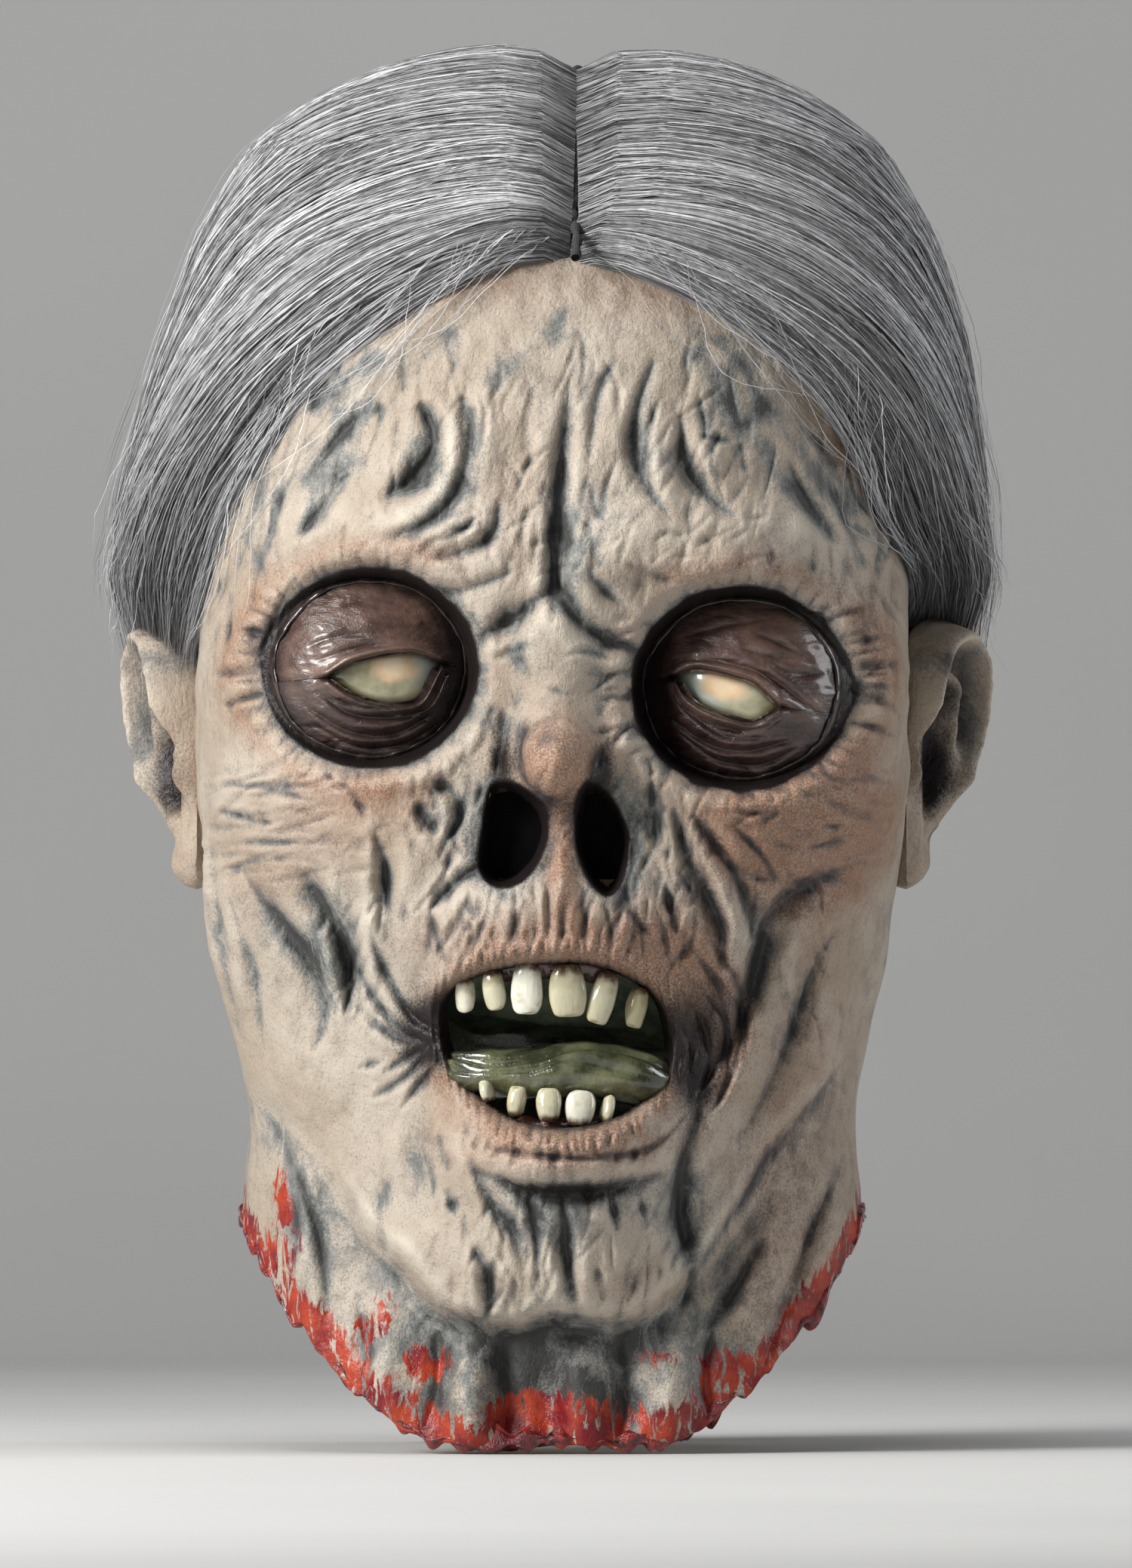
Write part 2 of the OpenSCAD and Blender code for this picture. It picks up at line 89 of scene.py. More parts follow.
# Creases: depth, half width, then the points x, z that each follows
CREASES = [
    # forehead, from the middle outward
    (2.6, 2.2, (5, 294), (4, 280), (2, 262), (0, 234)), (3.4, 2.8, (3, 272), (2, 252), (0, 226)),
    (5.0, 3.4, (-36, 287), (-32, 278), (-35, 268), (-47, 260)),
    (3.4, 2.6, (-24, 289), (-22, 277), (-26, 262), (-34, 254), (-46, 249)),
    (2.4, 1.9, (-14, 261), (-16, 251), (-24, 246), (-32, 244)),
    (1.2, 1.3, (-20, 256), (-26, 251), (-33, 249)), (0.9, 1.2, (-1, 266), (-4, 255)),
    (1.2, 1.6, (-61, 293), (-66, 284)), (1.6, 1.6, (-52, 285), (-61, 274), (-67, 266)),
    (2.4, 1.8, (-55, 268), (-64, 256), (-70, 249)), (1.0, 1.3, (-47, 290), (-46, 280)),
    (1.0, 1.2, (-73, 270), (-75, 253)), (1.0, 1.2, (-78, 274), (-82, 252), (-85, 240)),
    (1.3, 1.6, (18, 299), (13, 290), (10, 270)), (2.8, 2.1, (28, 299), (23, 283), (24, 268), (33, 254)),
    (3.6, 2.7, (35, 284), (36, 272), (41, 263), (52, 254)), (0.9, 1.1, (40, 278), (50, 276)),
    (1.2, 1.4, (51, 276), (53, 267)), (2.4, 1.9, (64, 271), (70, 259), (78, 248)),
    (1.1, 1.3, (70, 280), (78, 269)), (1.2, 1.4, (75, 268), (80, 254), (84, 240)),
    (1.0, 1.2, (20, 243), (35, 237)), (0.9, 1.2, (59, 250), (60, 240)), (0.9, 1.2, (71, 248), (71, 239)),
    # brows and frown
    (4.4, 3.0, (0, 242), (5, 231), (12, 224), (24, 219)), (3.8, 2.8, (2, 238), (-6, 231), (-22, 221)),
    (2.0, 1.8, (-38, 237), (-28, 235), (-20, 237), (-10, 241)),
    (1.4, 1.5, (10, 241), (15, 235), (21, 231)),
    # crow's feet
    (1.4, 1.2, (-90, 213), (-79, 213)), (1.4, 1.2, (-87, 204), (-78, 208)),
    (1.2, 1.2, (-84, 225), (-76, 223)), (1.2, 1.3, (-86, 236), (-86, 219)),
    (1.4, 1.2, (77, 229), (83, 231)), (1.4, 1.2, (79, 221), (88, 224)), (1.4, 1.2, (80, 214), (90, 216)),
    (1.4, 1.2, (81, 209), (90, 203)), (1.2, 1.2, (80, 200), (90, 196)), (1.2, 1.2, (73, 190), (77, 183)),
    # nose
    (2.0, 1.7, (-7, 202), (-8.5, 192), (-6, 183), (1, 178.5), (7, 183)),
    (1.6, 1.5, (10, 183), (13, 191), (16, 196)), (1.6, 1.5, (-13, 204), (-13, 195), (-15, 186)),
    (0.9, 1.1, (3, 218), (10, 219), (18, 216)), (0.9, 1.1, (13, 212), (22, 214)),
    (0.9, 1.1, (13, 206), (24, 207)), (1.2, 1.2, (21, 200), (15, 192)), (1.2, 1.2, (25, 191), (28, 185)),
    (0.9, 1.1, (-6, 221), (-16, 217)), (0.8, 1.0, (-2, 209), (6, 207)),
    # below the nose
    (3.0, 1.9, (-18, 161), (-25, 157), (-33, 149)), (1.2, 1.1, (-22, 153), (-25, 146), (-31, 137)),
    (1.1, 0.9, (-16, 156), (-18, 147), (-22, 136)), (1.1, 0.9, (-10, 155), (-10, 146), (-12, 136)),
    (1.0, 0.9, (-5, 158), (-4, 146), (-6, 136)), (1.1, 0.9, (-1, 157), (-1, 145), (-2, 137)),
    (1.0, 0.9, (4, 158), (3, 147), (3, 137)), (1.0, 0.9, (8, 153), (9, 145), (9, 137)),
    (1.1, 0.9, (14, 151), (16, 144), (17, 136)), (1.0, 1.0, (22, 153), (24, 145), (25, 135)),
    (1.2, 1.1, (-33, 150), (-31, 140), (-28, 133)), (1.0, 0.9, (28, 150), (31, 141), (33, 131)),
    # cheek on the left
    (2.2, 1.8, (-26, 181), (-25, 174), (-28, 168)), (2.6, 2.2, (-37, 178), (-31, 169)),
    (2.0, 2.2, (-33, 184), (-25, 180)),
    (3.0, 2.4, (-84, 161), (-78, 153), (-71, 143), (-65, 134), (-62, 120), (-65, 109)),
    (5.0, 3.0, (-67, 159), (-61, 148), (-56, 136), (-55, 120)),
    (2.8, 1.9, (-48, 170), (-45, 158), (-45, 147)),
    (2.6, 1.7, (-50, 144), (-45, 131), (-38, 120), (-28, 114)),
    (2.2, 1.5, (-54, 134), (-48, 124), (-40, 115), (-30, 112)),
    (1.8, 1.3, (-54, 123), (-46, 116), (-36, 111)), (2.0, 1.3, (-46, 104), (-38, 109), (-31, 113)),
    (2.0, 1.3, (-49, 97), (-40, 103), (-32, 111)), (1.8, 1.2, (-41, 94), (-36, 101), (-30, 108)),
    (1.2, 1.1, (-53, 105), (-45, 108)), (1.6, 1.5, (-91, 170), (-87, 146), (-82, 112)),
    (1.4, 1.4, (-85, 152), (-79, 132), (-77, 110)), (1.1, 1.0, (-40, 151), (-40, 142)),
    (1.1, 1.1, (-88, 176), (-75, 172)), (1.1, 1.1, (-82, 167), (-68, 167)),
    (1.1, 1.1, (-78, 182), (-64, 178)), (1.2, 1.2, (-62, 186), (-54, 180), (-50, 172)),
    # cheek on the right
    (4.0, 2.5, (33, 177), (37, 163), (41, 155), (46, 143), (46, 131)),
    (3.4, 2.1, (38, 175), (47, 163), (53, 151), (55, 140)), (1.8, 1.3, (49, 172), (57, 164), (62, 156)),
    (5.0, 3.6, (84, 160), (70, 155), (60, 148), (57, 137), (53, 122), (46, 106)),
    (2.4, 2.4, (86, 146), (75, 136), (66, 116), (58, 98), (50, 84)), (2.0, 1.4, (31, 155), (34, 142)),
    (1.6, 1.4, (39, 149), (38, 140), (32, 133)), (2.2, 1.8, (27, 184), (28, 173), (29, 164)),
    (1.2, 1.2, (56, 172), (62, 175)), (1.2, 1.2, (69, 165), (81, 168)), (1.2, 1.2, (73, 171), (82, 172)),
    (1.0, 1.0, (20, 149), (28, 141)), (2.0, 1.4, (38, 138), (46, 126), (47, 112), (41, 99)),
    (1.8, 1.3, (43, 141), (51, 127), (51, 110), (45, 94)),
    (1.6, 1.1, (34, 126), (41, 118), (43, 106), (39, 96)),
    (1.6, 1.1, (38, 130), (47, 118), (48, 104), (43, 92)), (1.2, 0.9, (35, 118), (38, 110), (36, 101)),
    (1.2, 0.9, (40, 136), (52, 120), (53, 106)),
    # lower lip and chin
    (2.2, 1.3, (-18, 84), (-3, 82), (12, 81.5), (27, 84), (38, 94)),
    (4.6, 2.9, (-22, 78), (-4, 72), (12, 72), (32, 77)), (1.4, 2.4, (-44, 76), (-47, 64), (-45, 54)),
    (1.4, 2.0, (-31, 88), (-28, 77)), (2.6, 1.9, (-23, 82), (-16, 68), (-11, 62), (-7, 50)),
    (1.8, 1.5, (-15, 77), (-6, 68), (-3, 44)), (3.4, 2.1, (3, 75), (4, 55), (7, 37)),
    (1.6, 1.4, (10, 76), (10, 66)), (2.4, 1.7, (16, 72), (18, 61)), (1.6, 1.4, (-29, 73), (-26, 65)),
    (3.4, 2.2, (-22, 58), (-17, 48), (-18, 36)), (1.2, 1.3, (24, 70), (26, 62)),
    (5.0, 3.2, (41, 96), (36, 81), (35, 66), (38, 50), (33, 40)), (1.2, 1.2, (12, 52), (14, 42)),
    # jaw and neck
    (2.2, 2.4, (-79, 99), (-73, 84), (-65, 64), (-62, 50), (-61, 36)),
    (2.2, 2.0, (81, 83), (75, 70), (67, 50), (57, 22)),
    (2.6, 2.2, (85, 111), (74, 98), (61, 83), (50, 66), (40, 50)),
    (2.4, 2.0, (58, 59), (49, 43), (42, 33)), (3.0, 3.0, (-12, 32), (-11, 14), (-12, 1)),
    (2.4, 2.6, (-31, 34), (-31, 18), (-35, 6)), (2.8, 3.0, (20, 33), (21, 16), (19, 2)),
    (2.0, 2.2, (-53, 44), (-50, 28), (-52, 14)), (2.4, 2.4, (44, 34), (42, 20), (44, 10)),
    (1.6, 1.8, (-72, 76), (-70, 60), (-72, 46)),
]

# Long soft folds that stand up between creases: height, half width, points
FOLDS = [
    (3.5, 4.2, (44, 164), (51, 146), (50, 128), (45, 113), (40, 100)),
    (4.5, 5.0, (80, 152), (65, 138), (58, 123), (53, 107), (46, 92), (41, 74)),
    (3.0, 5.0, (84, 140), (77, 118), (66, 92), (56, 70)), (2.8, 3.6, (-53, 162), (-51, 148), (-46, 133)),
    (3.0, 4.6, (-78, 162), (-69, 148), (-60, 131), (-59, 112)),
    (2.4, 4.0, (-93, 172), (-87, 142), (-80, 108)), (3.0, 4.5, (-70, 90), (-66, 64), (-66, 30)),
    (3.4, 5.0, (-22, 34), (-22, 18), (-24, 2)), (3.0, 4.5, (4, 32), (5, 18), (5, 2)),
    (3.0, 5.0, (34, 34), (33, 18), (32, 2)), (3.0, 5.0, (66, 76), (60, 52), (52, 26)),
    (2.4, 4.5, (80, 84), (76, 60), (68, 36)),
]

# Brush strokes of grey paint on the forehead: strength, half width, points
STROKES = [
    (0.6, 2.6, (-66, 266), (-58, 276), (-50, 284)), (0.6, 2.4, (-68, 254), (-60, 266), (-53, 272)),
    (0.5, 2.2, (-60, 290), (-54, 296), (-47, 299)), (0.45, 2.0, (-56, 280), (-50, 288)),
    (0.5, 2.0, (-66, 288), (-60, 297)), (0.4, 2.2, (-34, 300), (-27, 306)),
    (0.35, 2.5, (0, 304), (3, 312)), (0.4, 2.2, (-18, 292), (-10, 298), (-6, 302)),
    (0.4, 2.4, (-25, 262), (-20, 272), (-22, 284)), (0.5, 3.0, (40, 300), (45, 292), (48, 284)),
    (0.5, 3.0, (50, 302), (54, 292), (56, 284)), (0.5, 2.6, (58, 288), (66, 276), (76, 262)),
    (0.5, 2.4, (54, 280), (62, 268), (70, 258)), (0.45, 2.2, (66, 284), (74, 274)),
    (0.4, 2.0, (76, 270), (82, 258)), (0.35, 3.0, (28, 298), (26, 284), (30, 270)),
]

# Paint: x, z, half width, half height, strength. The wash patches are grey paint and also painted shade: in
# the cheek hollows, beside the nose, on the jaw's right side and on the neck under the chin
WASH_AND_SHADE_PATCHES = [
    (50, 288, 11, 18, 0.7), (10, 250, 10, 14, 0.55), (-14, 296, 5, 4, 0.4), (-28, 303, 5, 4, 0.4),
    (-20, 315, 5, 4, 0.35), (2, 307, 6, 5, 0.3), (19, 316, 4, 4, 0.35), (-60, 280, 10, 20, 0.4),
    (-46, 296, 9, 6, 0.5), (-35, 273, 5, 8, 0.6), (40, 303, 12, 7, 0.45), (66, 262, 6, 12, 0.35),
    (-20, 200, 6, 14, 0.45), (22, 172, 6, 22, 0.6), (-2, 196, 9, 5, 0.6), (-9, 214, 4, 12, 0.3),
    (13, 212, 4, 12, 0.3), (-24, 172, 8, 10, 0.6), (-73, 148, 8, 14, 0.5), (-61, 138, 6, 20, 0.55),
    (66, 118, 8, 16, 0.1), (70, 152, 10, 6, 0.5), (-36, 80, 4, 20, 0.6), (38, 70, 5, 26, 0.5),
    (4, 68, 22, 8, 0.55), (-30, 32, 16, 10, 0.3), (0, 22, 13, 16, 0.7), (30, 30, 20, 10, 0.3),
    (4, 292, 16, 12, 0.25), (-66, 52, 6, 26, 0.15), (-80, 252, 8, 20, 0.3), (84, 244, 8, 24, 0.4),
    (-45, 196, 40, 10, 0.2), (34, 150, 10, 12, 0.35), (-42, 140, 8, 18, 0.15), (0, 218, 20, 8, 0.2),
    (50, 72, 12, 30, 0.15), (-2, 20, 44, 16, 0.75), (58, 36, 20, 26, 0.25),
]
WARM_PATCHES = [
    (-58, 174, 22, 12, 0.5), (70, 170, 25, 20, 2.3), (1.3, 187, 11, 12, 2.2), (-42, 181, 12, 8, 0.35),
    (80, 286, 8, 16, 0.8), (-22, 319, 26, 7, 0.45), (30, 318, 20, 8, 0.5), (86, 226, 6, 16, 0.6),
    (-80, 226, 7, 18, 0.35), (-44, 246, 22, 6, 0.35), (44, 242, 24, 6, 0.4), (0, 141, 34, 9, 0.85),
    (32, 138, 13, 12, 1.1), (42, 122, 11, 14, 1.2), (6, 84, 34, 8, 0.8), (-30, 100, 6, 12, 0.4),
    (36, 104, 8, 12, 0.7), (-20, 46, 12, 8, 0.3), (20, 46, 14, 10, 0.35), (24, 212, 6, 14, 0.3),
    (76, 118, 16, 40, 0.4), (62, 56, 16, 28, 0.55), (31, 134, 9, 7, 0.7), (-76, 156, 10, 8, 0.4),
    (-10, 262, 14, 20, 0.2), (3, 162, 5, 14, 1.3), (44, 112, 12, 16, 0.8), (60, 90, 10, 14, 0.3),
]
# Painted shade, near black: beside and under the nose bulb, by the left nasal pit, at the mouth's corners,
# under the lower lip and on the neck under the chin
SHADE_PATCHES = [
    (-13.5, 189, 4, 9, 0.85), (13.5, 186, 4, 8, 0.95), (2, 177, 5, 3.5, 0.55), (-22, 166, 3, 10, 0.4),
    (0, 16, 48, 16, 0.3), (58, 30, 20, 16, 0.2), (-34, 115, 9, 12, 1.0), (39, 113, 13, 17, 0.8),
    (40, 98, 5, 9, 0.5), (6, 72.5, 22, 2.4, 0.7),
]
BLOOD_PATCHES = [
    (-46, 38, 5, 7, 0.9), (-52, 34, 6, 5, 0.6), (-34, 25, 8, 6, 1.0), (0, 13, 13, 5, 1.0),
    (45, 23, 6, 8, 0.9), (30, 26, 7, 4, 0.8), (67, 32, 6, 8, 0.8), (74, 44, 5, 5, 0.8),
    (-72, 58, 5, 9, 0.7), (-74, 72, 3, 8, 0.8), (85, 56, 5, 7, 0.9), (-62, 36, 4, 8, 0.7),
]
MOUTH = [
    (-28, 116), (-27.5, 125), (-21, 130), (-10, 133), (0, 133.8), (10, 133.6), (20, 130.2), (27, 125),
    (30, 117), (30.5, 107), (26, 98.5), (18, 92.5), (5, 89.5), (-9, 91.5), (-18, 97), (-24.5, 105),
]
NOSTRILS = [
    [
        (-16, 182), (-9, 182), (-3, 177), (-1.5, 170), (-4, 162), (-9, 156.5), (-15, 155.5), (-19, 160),
        (-18, 172),
    ],
    [
        (8, 181), (12, 182.5), (17, 177), (20.5, 168), (19, 157), (15, 153), (10, 158), (7, 168),
    ],
]


def smooth(t):
    """Rises from 0 to 1 with level ends."""
    c = np.clip(t, 0.0, 1.0)
    return c * c * (3 - 2 * c)


def bell(t, width, power=2):
    """1 where t is 0, falling to nothing at about twice the width."""
    return np.exp(-(t / width) ** power)


def circle(count):
    """Angles once round, in radians."""
    return np.linspace(0, 2 * math.pi, count, endpoint=False)


def crossed(rows, cols):
    """Two grids from the values down the rows and along the columns."""
    return np.meshgrid(rows, cols, indexing="ij")


def signed_power(values, power):
    """A power of the size of each value, with the value's sign."""
    return np.sign(values) * np.abs(values) ** power


def turned(x, y, angle):
    """x and y turned by an angle in radians."""
    return x * math.cos(angle) - y * math.sin(angle), x * math.sin(angle) + y * math.cos(angle)


def to_frame(points):
    """Points in mm from the head's axis, as points in the CAD frame in metres."""
    return (np.asarray(points, float) + SHIFT) * MM


def curve(points, step=1.5, closed=False):
    """A smooth line through points, as points about step apart."""
    p = np.array(points, float)
    if closed:
        p = np.vstack([p[-1], p, p[0], p[1]])
    else:
        p = np.vstack([2 * p[0] - p[1], p, 2 * p[-1] - p[-2]])
    out = []
    for a, b, c, d in zip(p[:-3], p[1:-2], p[2:-1], p[3:]):
        n = max(2, int(np.linalg.norm(c - b) / step))
        t = np.arange(n)[:, None] / n
        out.append(0.5 * (2 * b + (c - a) * t + (2 * a - 5 * b + 4 * c - d) * t**2
                          + (3 * b - a - 3 * c + d) * t**3))
    if not closed:
        out.append(p[-2:-1])
    return np.vstack(out)


def nearest(x, z, line, closed=False):
    """Distance from each place to a line, how far along it that is from 0 to 1, and the nearest point."""
    ends = np.vstack([line[1:], line[:1]]) if closed else line[1:]
    starts = line if closed else line[:-1]
    best = np.full(x.shape, 1e9)
    along = np.zeros(x.shape)
    near = np.zeros(x.shape + (2,))
    lengths = np.linalg.norm(ends - starts, axis=1)
    total = lengths.sum()
    run = 0.0
    for a, b, length in zip(starts, ends, lengths):
        if length < 1e-9:
            continue
        u = (b - a) / length
        t = np.clip((x - a[0]) * u[0] + (z - a[1]) * u[1], 0, length)
        px = a[0] + t * u[0]
        pz = a[1] + t * u[1]
        d = np.hypot(x - px, z - pz)
        closer = d < best
        best[closer] = d[closer]
        along[closer] = (run + t[closer]) / total
        near[closer, 0] = px[closer]
        near[closer, 1] = pz[closer]
        run += length
    return best, along, near


def inside(x, z, outline):
    """Whether each place is inside a closed outline."""
    hit = np.zeros(x.shape, bool)
    for (ax, az), (bx, bz) in zip(outline, np.roll(outline, -1, axis=0)):
        crosses = (az > z) != (bz > z)
        with np.errstate(divide="ignore", invalid="ignore"):
            at = ax + (z - az) / (bz - az) * (bx - ax)
        hit ^= crosses & (x < at)
    return hit


def signed(x, z, outline):
    """Distance to a closed outline, negative inside it."""
    d, _, near = nearest(x, z, outline, True)
    return np.where(inside(x, z, outline), -d, d), near


def blob(x, z, row, power=2.5):
    """One soft round patch: its x, z, half width, half height and amount are in row."""
    cx, cz, rx, rz, amount = row
    return amount * np.exp(-np.hypot((x - cx) / rx, (z - cz) / rz) ** power)


def blobs(x, z, rows, power=2.5):
    return sum(blob(x, z, row, power) for row in rows)


def window(x, z, points, reach):
    """Which places are near a set of points."""
    lo = points.min(axis=0) - reach
    hi = points.max(axis=0) + reach
    return (x > lo[0]) & (x < hi[0]) & (z > lo[1]) & (z < hi[1])


def near_line(x, z, points, reach):
    """Which places are near a smooth line through points, with their distance and place along it."""
    line = curve(points)
    near = window(x, z, line, reach)
    d, along, _ = nearest(x[near], z[near], line)
    return near, d, np.clip(along, 0, 1)


def carve(x, z, height, wash, depth, width, points, paint=1.0):
    """Cuts one tapered crease with soft lips, and washes dark paint into it."""
    near, d, along = near_line(x, z, points, width * 4)
    uneven = 1 + 0.22 * np.sin(along * 9 + points[0][0])
    taper = np.sin(along * math.pi) ** 0.65 * uneven
    u = d / (width * (0.4 + 0.6 * taper))
    height[near] += 1.1 * depth * taper * (0.17 * bell(u - 2.1, 1.1) - np.exp(-u**1.5))
    wash[near] += paint * min(0.85, 0.16 + depth * 0.15) * taper * (bell(u, 0.75) + 0.4 * bell(u, 2.3))


def blurred(values, reach):
    """A grid of values smoothed over about reach cells each way."""
    taps = np.arange(-2 * reach, 2 * reach + 1)
    weights = bell(taps, reach)
    weights /= weights.sum()
    for axis in (0, 1):
        pad = [(0, 0), (0, 0)]
        pad[axis] = (2 * reach, 2 * reach)
        wide = np.pad(values, pad, mode="edge")
        count = values.shape[axis]
        values = sum(w * np.take(wide, range(k, k + count), axis) for k, w in enumerate(weights))
    return values


def wiggle(u, v, seed, octaves=4, base=1.0):
    """Cheap smooth noise of two coordinates, about -1 to 1."""
    rng = np.random.default_rng(seed)
    total = np.zeros(np.broadcast(u, v).shape)
    for k in range(octaves):
        for _ in range(3):
            a, b = rng.normal(size=2) * base * 1.9**k
            total += np.sin(a * u + b * v + rng.uniform(0, 6.28)) / (3 * 1.6**k)
    return total


# ---- surface of the head ----

HEIGHTS = np.arange(-40.0, CROWN_Z + 0.5, 0.5)


def core_table():
    """The core's rows at every half millimetre, with the corners between rows rounded off."""
    kernel = bell(np.arange(-24, 25), 12.0)
    kernel /= kernel.sum()
    keep = smooth((HEIGHTS - 322) / 16)     # the crown's rows stay as they are
    table = []
    for i in (1, 2, 3):
        raw = np.interp(HEIGHTS, CORE[:, 0], CORE[:, i])
        soft = np.convolve(np.pad(raw, 24, mode="edge"), kernel, mode="valid")
        table.append(soft * (1 - keep) + raw * keep)
    return table


TABLE = core_table()


def core(z, i):
    """Column i of the core's rows at heights z."""
    return np.interp(z, HEIGHTS, TABLE[i - 1])


def torn_edge(a):
    """Height of the torn edge at an angle from the front, in degrees."""
    a = np.abs((np.asarray(a) + 180) % 360 - 180)
    rise = RIM_RISE * smooth((np.minimum(a, 180 - a) - LEVEL_DEG) / (90 - LEVEL_DEG))
    r = np.radians(a)
    ragged = 1.1 * np.sin(23 * r) + 0.8 * np.sin(41 * r + 1) + 0.6 * np.sin(67 * r + 2)
    return rise + 1.3 + (ragged + 2.2) * (0.4 + 0.6 * smooth(rise / 20))


def around(a_deg, z, grow=0.0):
    """x, y on the core at an angle from the front, grown outward."""
    a = np.radians(a_deg)
    front = np.cos(a) > 0
    depth = np.where(front, core(z, 2), core(z, 3)) + grow
    power = np.where(front, FRONT_POWER, BACK_POWER)
    y = np.where(front, -1, 1) * depth * np.abs(np.cos(a)) ** power
    return (core(z, 1) + grow) * np.sin(a), y


def front_y(x, z, grow=0.0):
    """Depth of the core's front at a place seen from the front."""
    c = np.sqrt(np.clip(1 - (x / (core(z, 1) + grow)) ** 2, 0, 1))
    return -(core(z, 2) + grow) * c**FRONT_POWER


def socket_radius(x, z, side):
    """1 on the socket's rim, less inside it."""
    ex, ez = EYES[side]
    rx, rz = SOCKET[side]
    return np.hypot((x - ex) / rx, (z - ez) / rz)


def face_fields(x, z):
    """Height in mm, the amounts of each paint and of painted shade over the front of the face."""
    edge, _ = signed(x, z, np.vstack([curve(JAW_EDGE[:JAW_CORNERS], 3), JAW_EDGE[JAW_CORNERS:]]))
    height = blobs(x, z, FORMS) + blobs(x, z, JAW_FORMS) * smooth((2.0 - edge) / 9.0)
    height += 1.6 * bell(edge + 6, 4) * smooth((95 - z) / 30) + blobs(x, z, LUMPS, 2.2)
    # Painted shadow of the jaw on the neck: a band of wash just below the jaw's edge, heaviest in the middle
    below = smooth((edge + 1) / 2) * smooth((18 - edge) / 18) * smooth((112 - z) / 14)
    wash = (0.3 + 0.55 * bell(x + 2, 34)) * below
    for tall, width, *points in FOLDS:
        near, d, along = near_line(x, z, points, width * 2.5)
        height[near] += tall * np.sin(along * math.pi) ** 0.7 * bell(d, width)
    for amount, width, *points in STROKES:
        near, d, _ = near_line(x, z, points, width * 2.5)
        wash[near] += amount * bell(d, width)
    nose_tip = np.clip(1 - ((x - 1.2) / 10.5) ** 2 - ((z - 189) / 12.0) ** 2, 0, 1)
    height += (3.6 + 0.5 * wiggle(x, z, 23, 3, 0.5)) * nose_tip**0.7
    for depth, width, *points in CREASES:
        carve(x, z, height, wash, depth, width, points)
    small_wrinkles(x, z, height, wash)
    wash += blobs(x, z, WASH_AND_SHADE_PATCHES, 2.4) * (0.75 + 0.5 * wiggle(x, z, 5, 3, 0.25))
    warm = blobs(x, z, WARM_PATCHES, 2.4)
    dark = blobs(x, z, SHADE_PATCHES)
    blood = blobs(x, z, BLOOD_PATCHES, 2.2)
    # Painted shade in the nasal pits: near black inside, grey round their edges
    for outline in NOSTRILS:
        near = window(x, z, np.array(outline), 8)
        pit, _ = signed(x[near], z[near], curve(outline, 1.5, True))
        dark[near] += 1.1 * smooth((2.2 - pit) / 2.6)
        wash[near] += 0.5 * smooth((6 - pit) / 5)
    eye_rims(x, z, height, wash, warm, dark)
    mouth_rim(x, z, height, wash, warm, dark)
    warp = 3.0 * wiggle(x, z, 15, 2, 0.07)
    height += 0.5 * wiggle(x, z, 11, 4, 0.12) + 0.2 * wiggle(x * 1.3 + warp, z * 0.8 + warp, 16, 4, 0.45)
    return height, wash, warm, dark, blood


# Where the short fine wrinkles are: x range, z range, direction in degrees, length, how many
WRINKLE_AREAS = [
    (-34, 36, 137, 154, 88, 11, 80), (-26, 32, 81, 91, 90, 8, 60), (-90, -48, 158, 188, 14, 16, 60),
    (48, 90, 154, 188, 168, 16, 60), (-62, 64, 236, 300, 82, 14, 130), (-36, 38, 36, 74, 84, 13, 90),
    (-30, -8, 186, 232, 100, 9, 30), (14, 32, 190, 232, 20, 9, 36), (-66, -40, 116, 156, 66, 14, 24),
    (34, 84, 100, 156, 116, 15, 24), (-94, -70, 200, 290, 84, 16, 60), (72, 95, 200, 286, 96, 16, 60),
    (-40, 44, 150, 186, 74, 12, 60), (-40, -22, 160, 190, 84, 10, 14), (22, 44, 150, 190, 96, 12, 24),
    (-70, 70, 240, 258, 30, 8, 40),
]


def small_wrinkles(x, z, height, wash):
    """Short fine wrinkles: upright on the lips and forehead, level on the cheekbones."""
    rng = np.random.default_rng(8)
    for x0, x1, z0, z1, turn, length, count in WRINKLE_AREAS:
        for _ in range(count):
            middle = np.array([rng.uniform(x0, x1), rng.uniform(z0, z1)])
            a = math.radians(turn + rng.normal() * 16)
            half = length * rng.uniform(0.3, 0.7) * np.array([math.cos(a), math.sin(a)])
            points = [middle - half, middle + rng.normal() * 1.2, middle + half]
            carve(x, z, height, wash, rng.uniform(0.25, 0.75), rng.uniform(0.65, 1.15), points, 0.4)


def eye_rims(x, z, height, wash, warm, dark):
    """A raised rim round each socket, painted shade down into it and streaks of paint running outward."""
    rng = np.random.default_rng(4)
    for side, (ex, ez) in EYES.items():
        r = socket_radius(x, z, side)
        angle = np.arctan2(z - ez, x - ex)
        height += 1.3 * bell(r - 1.2, 0.12)
        height -= 3.0 * bell(r - 1.0, 0.11)
        streak = 0.5 + 0.5 * wiggle(angle * 14, r * 2, int(rng.integers(99)), 2, 1.0)
        reach = 0.02 + 0.09 * np.clip(streak, 0, 1) ** 2
        # Painted shade down into the socket: near black, with its edge made ragged by streaks of paint
        # running outward, and grey just beyond it
        dark += 1.15 * smooth((1.03 + reach - r) / (reach + 0.03))
        wash += 0.55 * smooth((1.06 + 2.0 * reach - r) / 0.14)
        outer = 0.5 + 0.5 * np.cos(angle - (math.pi if side == "left" else 0))
        pleat = np.sin(angle * 46 + 3 * wiggle(angle * 5, angle, 3, 2, 1.0))
        near = bell(r - 1.15, 0.1)
        height += 0.35 * pleat * near * (0.1 + outer)
        wash += 0.5 * np.clip(-pleat, 0, 1) * near * (0.1 + outer)
        warm += 0.5 * bell(r - 1.25, 0.14) * (0.4 + outer)


